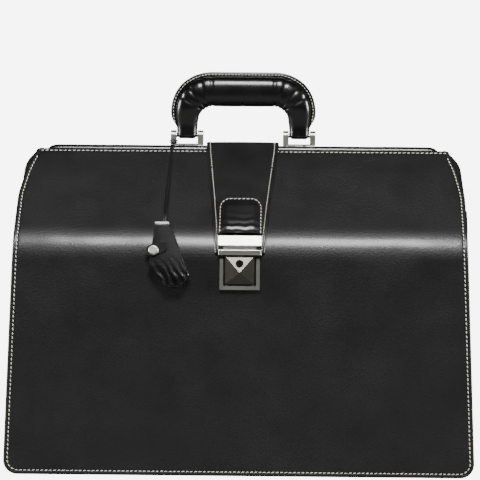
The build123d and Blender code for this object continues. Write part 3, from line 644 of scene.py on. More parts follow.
class Half(Enum):
    """A half of the bag, with its side of the Y axis and the frame body it hangs on."""

    FRONT = (1, "front_frame")
    BACK = (-1, "rear_frame")

    @property
    def word(self) -> str:
        """The half's name in lower case."""
        return self.name.lower()

    def turn(self, point: Vector) -> Vector:
        """Move a point of the front half to this half."""
        return Vector((point.x, point.y * self.value[0], point.z))

    def hang(self, piece: Piece) -> None:
        """Bake a piece's placement into its mesh; nothing bends it between the body and this half of
        the frame.
        """
        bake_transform(piece)


def settle(piece: Piece) -> None:
    """Apply a piece's modifiers to its mesh."""
    shown = piece.evaluated_get(bpy.context.evaluated_depsgraph_get())
    mesh = bpy.data.meshes.new_from_object(shown)
    piece.modifiers.clear()
    piece.data = mesh


def turned_out(bm: Shape, half: Half) -> None:
    """Keep faces outward on the half that is mirrored."""
    if half is Half.BACK:
        bmesh.ops.reverse_faces(bm, faces=bm.faces)


def mount(piece: Piece, body: str | None, finish: str, *nodes: str) -> None:
    """Put a finished piece on the bag.

    Args:
        piece: The piece.
        body: The body it rides on, or None to leave it unattached.
        finish: The name of a material slot; it is not used.
        nodes: CAD nodes it stands for.
    """
    if body:
        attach(piece, body)
    if nodes:
        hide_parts(*nodes)


def quarter(count: int, first: int = 0) -> list[float]:
    """Even steps of a quarter turn, from that step on."""
    return [pi / 2 * i / count for i in range(first, count + 1)]


def sharp_border(bm: Shape) -> None:
    """Keep the border of a sheet crisp when it is thickened."""
    for edge in bm.edges:
        edge.smooth = not edge.is_boundary


def cut_sheet(bm: Shape, name: str, thickness: float, *materials: Material) -> Piece:
    """Turn an outer face into a sheet with crisp cut edges and its thickness in its mesh.

    Args:
        bm: The outer face.
        name: The piece's name.
        thickness: In metres, inward.
        materials: Of the outer face, of the cut edge and, where it is lined, of the inner face.
    Returns:
        The sheet.
    """
    sharp_border(bm)
    piece = finish_mesh(bm, name, *materials)
    thicker(piece, thickness, 1)
    if len(materials) > 2:
        piece.modifiers["thickness"].material_offset = 2
    settle(piece)
    return piece


# ---------------------------------------------------------------- skins
@dataclass(frozen=True)
class Skin:
    """One face of the bag: a single hide from the foot to the rim, stitched all round."""

    half: Half
    finishes: Palette
    thickness: float = 3 * MM
    inner_columns: int = 104
    row_step: float = 3.6 * MM
    channel: float = 3.8 * MM
    top_channel: float = 3.4 * MM
    top_pitch: float = 4.2 * MM

    def rows(self) -> list[float]:
        """Lengths up the face at which the grid has a row."""
        top_band = [PROFILE.length - step * MM for step in (8.0, 5.6, 4.4, 3.4, 2.4, 1.2, 0.4, 0.0)]
        low, high = EDGE_STEPS[-1], top_band[0]
        count = ceil((high - low) / self.row_step)
        foot = [0.0, 0.15 * MM, *EDGE_STEPS[1:-1]]
        return foot + [low + (high - low) * i / count for i in range(count)] + top_band

    def relief(self, x: float, along: float) -> float:
        """How far the hide lies off its even face.

        Args:
            x: Place across.
            along: Length up the face.
        Returns:
            Offset outward.
        """
        place = PROFILE.at(along, 0, x)
        edge = min(half_width(place.z) - abs(x), along)
        top = PROFILE.length - along
        slack = smooth(0, 40 * MM, edge) * smooth(0, 22 * MM, top)
        seed = 3.0 if self.half is Half.FRONT else 11.0
        waves = 0.42 * MM * ripple(place, seed, 75 * MM) + 0.14 * MM * ripple(place, seed + 5, 24 * MM)
        groove = -0.45 * MM * (1 - smooth(0, 1.3 * MM, abs(top - self.top_channel)))
        tuck = -1.3 * MM * (1 - smooth(0, 1.6 * MM, top))
        return seam_relief(edge) + waves * slack + groove + tuck

    def face(self, x: float, along: float, out: float = 0.0) -> Vector:
        """Point on the hide's outer face."""
        return self.half.turn(PROFILE.at(along, self.relief(x, along) + out, x))

    def hide(self) -> Piece:
        """Build the hide.

        Returns:
            The sheet, with its thickness.
        """
        rows, columns = self.rows(), across_steps(self.inner_columns)

        def place(across: float, up: float) -> Vector:
            share, inset = columns[round(across * (len(columns) - 1))]
            along = rows[round(up * (len(rows) - 1))]
            wide = half_width(PROFILE.at(along).z)
            return self.face(share * (wide - inset), along)

        bm = mapped_grid(len(columns) - 1, len(rows) - 1, place)
        turned_out(bm, self.half)
        return cut_sheet(bm, f"{self.half.word}_hide", self.thickness, *self.finishes.lined)

    def border_path(self) -> list[tuple[float, float]]:
        """The stitch line down one side, along the foot and up the other, as (x, length)."""
        top = PROFILE.length - 9 * MM
        step = 1.5 * MM
        count = int((top - FOOT_ROUND) / step)
        sides = [FOOT_ROUND + (top - FOOT_ROUND) * i / count for i in range(count + 1)]
        right = [(half_width(PROFILE.at(s).z) - self.channel, s) for s in sides]
        corner = FOOT_ROUND - self.channel
        centre = right[0][0] - corner
        round_foot = [(centre + corner * cos(a), FOOT_ROUND - corner * sin(a)) for a in quarter(12, 1)]
        half = list(reversed(right)) + round_foot
        flat = [(centre * (1 - i / 200), self.channel) for i in range(1, 200)]
        return half + flat + [(0.0, self.channel)] + [(-x, s) for x, s in reversed(half + flat)]

    def seams(self) -> Piece:
        """Build every stitch of this face.

        Returns:
            The stitches, as one mesh.
        """
        bm = bmesh.new()
        for line, pitch in ((self.border_path(), Seam.pitch), (self.top_line(), self.top_pitch)):
            path = [self.face(x, s) for x, s in line]
            normals = [self.half.turn(PROFILE.normal(s)) for _, s in line]
            Seam(pitch=pitch, length=pitch * 0.74).sew(bm, path, normals)
        return finish_mesh(bm, f"{self.half.word}_stitches", self.finishes.thread)

    def top_line(self) -> list[tuple[float, float]]:
        """The stitch line just under the rim."""
        reach = half_width(PROFILE.at(PROFILE.length - self.top_channel).z) - self.channel
        return [(-reach + 2 * reach * i / 180, PROFILE.length - self.top_channel) for i in range(181)]

    def build(self) -> None:
        """Make the hide and its stitches, and hang them."""
        word = self.half.word
        hide, seams = self.hide(), self.seams()
        self.half.hang(hide)
        self.half.hang(seams)
        mount(hide, None, "black_leather", f"{word}_panel", f"{word}_fold", f"{word}_yoke")
        mount(seams, None, "black_leather")
        LOG.info("%s hide: %d faces", word, len(hide.data.polygons))


@dataclass(frozen=True)
class Gusset:
    """An end of the bag: a lower wall on the body and a bulging cover over each arm of the frame."""

    side: int
    finishes: Palette
    thickness: float = 2 * MM
    inset: float = 4 * MM
    inside: float = -3.2 * MM
    low_z: float = 20 * MM
    middle_gap: float = 1.2 * MM

    @property
    def word(self) -> str:
        """Which end this is."""
        return "right" if self.side > 0 else "left"

    def wall_x(self, y: float, z: float) -> float:
        """Half width of the lower wall's outer face."""
        swell = max(stepped(BULGE_SIDES, z) - half_width(z) + self.inset, 0)
        swell *= smooth(120 * MM, 215 * MM, z)
        pleat = 2.2 * MM * smooth(22 * MM, 70 * MM, z) * (1 - smooth(0, 26 * MM, abs(y)))
        pleat *= 1 - smooth(120 * MM, 200 * MM, z)
        waves = 0.5 * MM * ripple(Vector((self.side, y, z)), 21.0, 45 * MM)
        edge = smooth(0, 25 * MM, 87 * MM - abs(y))
        return half_width(z, 0) - self.inset + swell * cos(y * pi / 0.174) ** 2 - pleat + waves * edge

    def wall(self) -> Piece:
        """Build the lower wall, which dips between the covers."""

        def place(across: float, up: float) -> Vector:
            y = (across * 2 - 1) * 86.6 * MM
            top = min(self.roof(abs(y)), 240 * MM + 5.4 * MM * (abs(y) / (58 * MM)) ** 2)
            z = self.low_z + (top - self.low_z) * up
            return Vector((self.side * self.wall_x(y, z), y, z))

        bm = mapped_grid(44, 60, place)
        if self.side < 0:
            bmesh.ops.reverse_faces(bm, faces=bm.faces)
        return cut_sheet(bm, f"gusset_wall_{self.word}", self.thickness, *self.finishes.lined)

    def roof(self, away: float) -> float:
        """Height of the inside of the hides at that distance from the bag's middle plane."""
        low, high = PROFILE.upright, PROFILE.length
        for _ in range(24):
            middle = (low + high) / 2
            low, high = (middle, high) if -PROFILE.at(middle, self.inside).y > away else (low, middle)
        return PROFILE.at(low, self.inside).z

    def cover(self, half: Half) -> Piece:
        """Build the cover over one arm of the frame."""
        low, high = 229 * MM, 296.5 * MM

        def place(across: float, up: float) -> Vector:
            z = low + (high - low) * up
            outer = -PROFILE.at(PROFILE.along_at(z, self.inside), self.inside).y
            y = -(outer + (self.middle_gap - outer) * across)
            swell = eased(BULGE_SIDES, z) - half_width(z) + self.inset
            tuck = 2.7 * MM * (1 - smooth(241 * MM, 252 * MM, z))
            hem = 0.9 * MM * smooth(0.86, 1.0, across)
            x = half_width(z) - self.inset + swell * sin(across * pi / 2) ** 1.3 - tuck - hem
            return half.turn(Vector((self.side * x, y, z)))

        bm = mapped_grid(22, 30, place)
        if (self.side < 0) != (half is Half.BACK):
            bmesh.ops.reverse_faces(bm, faces=bm.faces)
        name = f"gusset_cover_{half.word}_{self.word}"
        return cut_sheet(bm, name, self.thickness, *self.finishes.lined)

    def build(self) -> None:
        """Make the wall and both covers."""
        wall = self.wall()
        mount(wall, "bag_body", "black_leather", f"gusset_{self.word}")
        for half in Half:
            cover = self.cover(half)
            half.hang(cover)
            mount(cover, None, "black_leather", f"{half.word}_cheek_{self.word}")
        LOG.info("gusset %s", self.word)


@dataclass(frozen=True)
class Base:
    """The bottom of the bag and what lines its inside."""

    finishes: Palette

    def bottom(self) -> Piece:
        """Build the bottom, which turns up at both ends to meet the gussets."""
        inset, corner = 4 * MM, 9.5 * MM
        centre = 201.2 * MM
        path = [(205.0 * MM + corner - 4.1 * MM, 20.5 * MM)]
        path += [(centre + corner * cos(a), FOOT_ROUND - corner * sin(a)) for a in quarter(8)]
        path += [(centre * (1 - i / 20), inset) for i in range(1, 20)]
        full = path + [(0.0, inset)] + [(-x, z) for x, z in reversed(path)]

        def place(across: float, up: float) -> Vector:
            x, z = full[round(across * (len(full) - 1))]
            y = (up * 2 - 1) * 86.8 * MM
            sag = 0.8 * MM * cos(y * pi / 0.174) if abs(x) < centre else 0.0
            return Vector((x, y, z + sag))

        bm = mapped_grid(len(full) - 1, 24, place)
        return cut_sheet(bm, "bottom", 2 * MM, *self.finishes.lined)

    def lining(self, half: Half) -> Piece:
        """Build the lining sheet behind one face, with a turned hem along its top."""

        def place(across: float, up: float) -> Vector:
            x, z = (across * 2 - 1) * 200 * MM, (8.5 + 181.5 * up) * MM
            fade = smooth(0, 0.06, min(across, 1 - across)) * smooth(0, 0.08, min(up, 1 - up))
            slack = 0.45 * MM * ripple(Vector((x, half.value[0], z)), 31.0, 38 * MM) * fade
            hem = 0.5 * MM * (1 - smooth(0, 0.02, abs(up - 0.975)))
            return half.turn(Vector((x, -85.9 * MM + slack + hem, z)))

        bm = mapped_grid(80, 44, place)
        turned_out(bm, half)
        return self.cloth(bm, f"{half.word}_lining_cloth", 1 * MM)

    def pocket(self) -> Piece:
        """Build the slip pocket on the back lining: a slack sheet, sewn down on three sides."""

        def place(across: float, up: float) -> Vector:
            x, z = (across * 2 - 1) * 110 * MM, (50 + 120 * up) * MM
            edge = min(min(across, 1 - across) * 220, up * 120) * MM
            belly = 3.4 * MM * smooth(0, 22 * MM, edge) * (0.45 + 0.55 * up)
            fold = 0.5 * MM * ripple(Vector((x, 0, z)), 44.0, 26 * MM)
            hem = 0.4 * MM * (1 - smooth(0, 2 * MM, abs(up * 120 * MM - 114 * MM)))
            return Vector((x, 85.4 * MM - belly + fold * smooth(0, 20 * MM, edge) + hem, z))

        return self.cloth(mapped_grid(60, 34, place), "slip_pocket", 0.8 * MM)

    def cloth(self, bm: Shape, name: str, thickness: float) -> Piece:
        """Turn the face that shows into a sheet of lining, thickened away from it."""
        piece = finish_mesh(bm, name, self.finishes.lining)
        thicker(piece, -thickness)
        settle(piece)
        return piece

    def board(self) -> Piece:
        """Build the stiff board that lies in the bottom, covered with lining."""
        bm = block(Vector((-200, -86.7, 6)) * MM, Vector((200, 86.7, 8.5)) * MM, 0.9 * MM)
        return finish_mesh(bm, "covered_board", self.finishes.lining)

    def build(self) -> None:
        """Make the bottom, board, linings and pocket."""
        bottom, board, pocket = self.bottom(), self.board(), self.pocket()
        rows = [(bottom, "base_panel", "black_leather"), (board, "base_board", "leatherboard")]
        rows += [(pocket, "inner_pocket", "suede_lining")]
        rows += [(self.lining(half), f"{half.word}_lining", "suede_lining") for half in Half]
        for piece, node, finish in rows:
            mount(piece, "bag_body", finish, node)
        LOG.info("bottom, board, pocket and linings")


@dataclass(frozen=True)
class Rim:
    """The padded roll of leather along the top of one half of the frame."""

    half: Half
    finishes: Palette
    reach: float = 186.3 * MM

    def build(self) -> None:
        """Loft the roll along the frame, drooping at both ends."""
        rings = []
        count = 96
        for i in range(count + 1):
            x = self.reach * -cos(pi * i / count)
            left = self.reach - abs(x)
            shrink = 0.35 + 0.65 * smooth(0, 9 * MM, left + 1 * MM)
            drop = 4.6 * MM * (1 - smooth(0, 16 * MM, left)) ** 2
            sway = 0.2 * MM * ripple(Vector((x, 0, 0)), 51.0, 40 * MM)
            centre = self.half.turn(Vector((x, -6.7 * MM, 293.4 * MM - drop + sway)))
            axes = Matrix(((0, 0, 1), (1, 0, 0), (0, 1, 0))).to_4x4()
            place = Matrix.Translation(centre) @ axes
            rings.append((place, 5.45 * MM * shrink, 6.5 * MM * shrink, 0.55))
        piece = finish_mesh(lofted(rings, 20), f"{self.half.word}_rim_roll", self.finishes.roll)
        mount(piece, self.half.value[1], "black_leather", f"{self.half.word}_rim")
        LOG.info("%s rim", self.half.word)


# ---------------------------------------------------------------- strap
@dataclass(frozen=True)
class Strap:
    """The closing strap: sewn to the rear rim, over the top and down the front to the lock."""

    finishes: Palette
    thickness: float = 3 * MM
    off: float = 1.2 * MM
    bend: float = 5.5 * MM
    split_run: float = 27 * MM
    rear_half: float = 33.5 * MM
    halves: Table = ((204, 22.5), (251, 27.4), (300, 33.5), (330, 33.5))
    channel: float = 3.4 * MM
    seam: Seam = Seam(pitch=2.85 * MM, length=2.15 * MM, thread=0.85 * MM)

    def line(self) -> list[Row]:
        """The strap's outer face from its rear end to its foot, as (point, normal) pairs."""
        out = self.off + self.thickness
        top_z = 303.4 * MM
        up = Vector((0, 0, 1))
        front = [(PROFILE.at(s, out), PROFILE.normal(s)) for s in self.front_lengths(out)]
        first = front[0][0]
        along = Vector((0, -sin(PROFILE.lean), -cos(PROFILE.lean)))
        corner = first + along * ((top_z - first.z) / along.z)
        cut = self.bend * tan((pi / 2 - PROFILE.lean) / 2)
        centre = corner + Vector((0, cut, -self.bend))
        tilt = pi / 2 - PROFILE.lean
        arc = [Vector((0, -sin(tilt * i / 8), cos(tilt * i / 8))) for i in range(9)]
        bent = [(centre + n * self.bend, n) for n in arc]
        flat = [(Vector((0, bent[0][0].y * (1 - i / 5), top_z)), up) for i in range(1, 6)]
        rear = [(Vector((0, -p.y, p.z)), Vector((0, -n.y, n.z))) for p, n in bent]
        rear_flat = [(Vector((0, -p.y, p.z)), n) for p, n in flat[:-1]]
        start, normal = rear[-1]
        down_back = Vector((0, sin(PROFILE.lean), -cos(PROFILE.lean)))
        tail = [(start + down_back * run * MM, normal) for run in (15, 14.4, 13, 11, 9, 6, 3)]
        return tail + list(reversed(rear)) + rear_flat + list(reversed(flat)) + bent + front

    def front_lengths(self, out: float) -> list[float]:
        """Lengths on the bag's face, from near the rim down to the strap's foot."""
        high = PROFILE.length + 0.2 * MM
        low = PROFILE.along_at(204 * MM, out)
        count = 58
        even = [high + (low - high) * i / count for i in range(count + 1)]
        return even[:-1] + [low + 0.5 * MM, low]

    def half_at(self, point: Vector) -> float:
        """Half the strap's width at that height; its rear part keeps one width."""
        return self.rear_half if point.y > -12 * MM else eased(self.halves, point.z, 6 * MM)

    def face(self, line: list[Row], index: int, x: float) -> Vector:
        """Point on the strap's outer face.

        Args:
            line: The strap's line.
            index: Which row.
            x: Place across.
        Returns:
            The point.
        """
        point, normal = line[index]
        half = self.half_at(point)
        foot = (point - line[-1][0]).length
        edge = min(half - abs(x), foot + 1.5 * MM)
        crown = 0.35 * MM * (1 - (x / half) ** 2)
        waves = 0.22 * MM * ripple(point + Vector((x, 0, 0)), 61.0, 26 * MM) * smooth(0, 8 * MM, edge)
        lift = seam_relief(edge, self.channel) + crown + waves - 0.3 * MM
        return Vector((x, point.y, point.z)) + normal * lift

    def stretch(self, name: str, line: list[Row], low: int, high: int) -> Piece:
        """Build the strap between two rows of its line."""
        columns = across_steps(26)

        def place(across: float, along: float) -> Vector:
            share, inset = columns[round(across * (len(columns) - 1))]
            row = low + round(along * (high - low))
            point = line[row][0]
            x = share * (self.half_at(point) - inset)
            placed = self.face(line, row, x)
            if abs(x) < 19.2 * MM and point.y < -80 * MM:
                placed.z = max(placed.z, 207.6 * MM)
            return placed

        bm = mapped_grid(len(columns) - 1, high - low, place)
        bmesh.ops.reverse_faces(bm, faces=bm.faces)
        return cut_sheet(bm, name, self.thickness - 0.2 * MM, self.finishes.strap, self.finishes.edge)

    def seams(self, name: str, line: list[Row], low: int, high: int, rear: bool = False) -> Piece:
        """Build the stitches along both edges between two rows."""
        bm = bmesh.new()
        for side in (-1, 1):
            path, normals = [], []
            for row in range(low, high + 1):
                x = side * (self.half_at(line[row][0]) - self.channel)
                path.append(self.face(line, row, x))
                normals.append(line[row][1])
            self.seam.sew(bm, path, normals)
        if rear:
            reach = self.rear_half - self.channel
            path = [self.face(line, 2, -reach + 2 * reach * i / 60) for i in range(61)]
            self.seam.sew(bm, path, [line[2][1]] * 61)
        return finish_mesh(bm, name, self.finishes.thread)

    def build(self) -> None:
        """Make both parts of the strap and bake each in place."""
        line = self.line()
        split_z = PROFILE.at(PROFILE.length - self.split_run, self.off + self.thickness).z
        front = [i for i, (point, _) in enumerate(line) if point.y <= -20 * MM]
        split = min(front, key=lambda i: abs(line[i][0].z - split_z))
        last = len(line) - 1
        sewn = next(i for i in range(split, last) if line[i][0].z < 208.5 * MM)
        upper = [
            self.stretch("strap_upper", line, 0, split),
            self.seams("strap_upper_stitches", line, 2, split, True),
        ]
        lower = [
            self.stretch("strap_lower", line, split, last),
            self.seams("strap_lower_stitches", line, split, sewn),
        ]
        for piece in upper:
            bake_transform(piece)
        for piece in lower:
            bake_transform(piece)
        mount(upper[0], None, "black_leather", "strap_top", "strap_shoulder")
        mount(lower[0], None, "black_leather", "strap_tongue")
        for piece in (upper[1], lower[1]):
            mount(piece, None, "black_leather")
        LOG.info("strap: %d rows, split at %d", len(line), split)


@dataclass(frozen=True)
class Chape:
    """The padded leather tip over the strap, which the hasp's plate holds down."""

    finishes: Palette
    half: float = 21 * MM
    top_z: float = 253 * MM
    foot_z: float = 220.2 * MM
    corner: float = 11 * MM
    base_out: float = 4.2 * MM
    channel: float = 2.4 * MM

    def wide(self, z: float) -> float:
        """Half width at that height."""
        rise = max(z - (self.top_z - self.corner), 0)
        return self.half - self.corner + max(self.corner**2 - rise**2, 0) ** 0.5

    def out(self, x: float, z: float) -> float:
        """How far the pad's face stands off the bag."""
        beside, above = abs(x) - (self.half - self.corner), z - (self.top_z - self.corner)
        if beside > 0 and above > 0:
            edge = self.corner - (beside * beside + above * above) ** 0.5
        else:
            edge = min(self.half - abs(x), self.top_z - z)
        rise = 2.0 * MM * smooth(-0.1 * MM, 0.9 * MM, edge) ** 0.6
        groove = -0.35 * MM * (1 - smooth(0, 0.9 * MM, abs(edge - self.channel)))
        belly = 1.5 * MM * smooth(2.0 * MM, 10 * MM, edge)
        low = 1 - smooth(222 * MM, 240 * MM, z)
        wrinkle = 0.30 * MM * low * sin((z / MM) * 1.15 + 2.2 * ripple(Vector((x, 0, z)), 71.0, 9 * MM))
        return self.base_out + rise + groove + belly + wrinkle * smooth(2 * MM, 6 * MM, edge)

    def point(self, x: float, z: float, lift: float = 0.0) -> Vector:
        """Point on the pad's face."""
        return PROFILE.at(PROFILE.along_at(z, self.base_out), self.out(x, z) + lift, x)

    def build(self) -> None:
        """Make the pad and its stitches."""
        steps = [0, 0.25, 0.7, 1.4, 1.9, 2.4, 2.9, 3.6]
        columns = [-self.half + s * MM for s in steps]
        columns += [(-17.4 + 34.8 * i / 40) * MM for i in range(1, 40)]
        columns += [self.half - s * MM for s in reversed(steps)]
        heights = [self.top_z - s * MM for s in (0.02, 0.3, 0.7, 1.3, 1.9, 2.4, 2.9, 3.6)]
        heights += [heights[-1] + (self.foot_z - heights[-1]) * i / 40 for i in range(1, 41)]

        def place(across: float, up: float) -> Vector:
            z = heights[round((1 - up) * (len(heights) - 1))]
            x = columns[round(across * (len(columns) - 1))] * self.wide(z) / self.half
            return self.point(x, z)

        bm = mapped_grid(len(columns) - 1, len(heights) - 1, place)
        pad = cut_sheet(bm, "chape_pad", 1.3 * MM, self.finishes.strap, self.finishes.edge)
        stitches = self.stitches()
        mount(pad, "strap_end", "black_leather", "strap_chape")
        mount(stitches, "strap_end", "black_leather")
        LOG.info("chape")

    def stitches(self) -> Piece:
        """Build the row that follows the pad's edge."""
        inner, turn = self.half - self.channel, self.corner - self.channel
        high = self.top_z - self.channel
        line = [(inner, self.foot_z + (high - turn - self.foot_z) * i / 20) for i in range(21)]
        middle = inner - turn
        line += [(middle + turn * cos(a), high - turn + turn * sin(a)) for a in quarter(10, 1)]
        line += [(middle * (1 - i / 10), high) for i in range(1, 10)]
        full = line + [(0.0, high)] + [(-x, z) for x, z in reversed(line)]
        path = [self.point(x, z) for x, z in full]
        normals = [PROFILE.normal(PROFILE.along_at(z, self.base_out)) for _, z in full]
        bm = bmesh.new()
        Seam(pitch=3.9 * MM, length=2.9 * MM, thread=0.85 * MM).sew(bm, path, normals)
        return finish_mesh(bm, "chape_stitches", self.finishes.thread)


# ---------------------------------------------------------------- handle
@dataclass(frozen=True)
class Handle:
    """A rolled handle: leather drawn round a soft core and sewn into a flat flange outside it."""

    finishes: Palette
    y: float = 6.6 * MM
    leg_x: float = 52.4 * MM
    foot_z: float = 306.2 * MM
    axis_z: float = 350.4 * MM
    turn: float = 23 * MM
    flange: float = 5 * MM

    def axis(self, share: float) -> tuple[Vector, Vector, float]:
        """The roll's middle line.

        Args:
            share: From 0 at the left foot to 1 at the right.
        Returns:
            The point, the outward direction there, and the length from the nearer foot.
        """
        leg = self.axis_z - self.turn - self.foot_z
        arc = self.turn * pi / 2
        top = 2 * (self.leg_x - self.turn)
        total = 2 * (leg + arc) + top
        at = share * total
        half = min(at, total - at)
        side = -1 if at < total / 2 else 1
        if half < leg:
            point, out = Vector((self.leg_x, self.y, self.foot_z + half)), Vector((1, 0, 0))
        elif half < leg + arc:
            angle = (half - leg) / self.turn
            out = Vector((cos(angle), 0, sin(angle)))
            point = Vector((self.leg_x - self.turn, self.y, self.axis_z - self.turn)) + out * self.turn
        else:
            point = Vector((self.leg_x - self.turn - (half - leg - arc), self.y, self.axis_z))
            out = Vector((0, 0, 1))
        return Vector((point.x * side, point.y, point.z)), Vector((out.x * side, 0, out.z)), half

    @staticmethod
    def section(out: Vector) -> Matrix:
        """Axes of a section across the roll, for its outward direction."""
        ahead = Vector((0, 1, 0))
        return Matrix((out, ahead, ahead.cross(out).normalized())).transposed().to_4x4()

    def sizes(self, half: float) -> tuple[float, float]:
        """Half width in the handle's plane and half depth, for a length from the nearer foot."""
        grow = smooth(6 * MM, 44 * MM, half)
        in_plane = (9.4 + (14.1 - 9.4) * grow) * MM
        depth = (6.6 + (9.8 - 6.6) * smooth(10 * MM, 30 * MM, half)) * MM
        return in_plane, depth

    def roll(self) -> Piece:
        """Build the padded roll with the creases where it turns."""
        rings, count = [], 150
        for i in range(count + 1):
            point, out, half = self.axis(i / count)
            wide, deep = self.sizes(half)
            end = 0.72 + 0.28 * smooth(0, 2.5 * MM, half)
            near = [abs(half - at * MM) for at in (34, 41.5, 50, 57.5)]
            crease = sum(0.055 * (1 - smooth(0, 1.9 * MM, away)) for away in near)
            lump = 1 + 0.012 * ripple(point, 81.0, 13 * MM)
            axes = self.section(out)
            shrink = end * (1 - crease) * lump
            rings.append((Matrix.Translation(point) @ axes, wide * shrink, deep * shrink, 0.34))
        return finish_mesh(lofted(rings, 28), "handle_roll", self.finishes.roll)

    def flange_strip(self) -> Piece:
        """Build the flat flange along the roll's outer side."""
        rings, count = [], 150
        for i in range(count + 1):
            point, out, half = self.axis(0.062 + (1 - 0.124) * i / count)
            wide, _ = self.sizes(half)
            reach = self.flange * smooth(0, 16 * MM, half - 5.5 * MM)
            middle = point + out * (wide - 2 * MM + reach / 2)
            axes = self.section(out)
            rings.append((Matrix.Translation(middle) @ axes, 1.0 * MM + reach / 2, 2.0 * MM, 0.8))
        return finish_mesh(lofted(rings, 16), "handle_flange", self.finishes.roll)

    def stitches(self) -> Piece:
        """Build the row on both faces of the flange, along the roll's foot."""
        bm = bmesh.new()
        for face in (-1, 1):
            path = []
            for i in range(241):
                point, out, half = self.axis(0.085 + 0.83 * i / 240)
                wide, _ = self.sizes(half)
                path.append(point + out * (wide + 1.5 * MM) + Vector((0, face * 2.0 * MM, 0)))
            seam = Seam(pitch=3.1 * MM, length=2.3 * MM, thread=0.85 * MM)
            seam.sew(bm, path, [Vector((0, face, 0))] * len(path))
        return finish_mesh(bm, "handle_stitches", self.finishes.thread)

    def build(self) -> None:
        """Make the roll, its flange and its stitches."""
        roll, flange, stitches = self.roll(), self.flange_strip(), self.stitches()
        mount(roll, "handle", "black_leather", "handle_grip")
        mount(flange, "handle", "black_leather", "handle_welt")
        mount(stitches, "handle", "black_leather")
        LOG.info("handle")


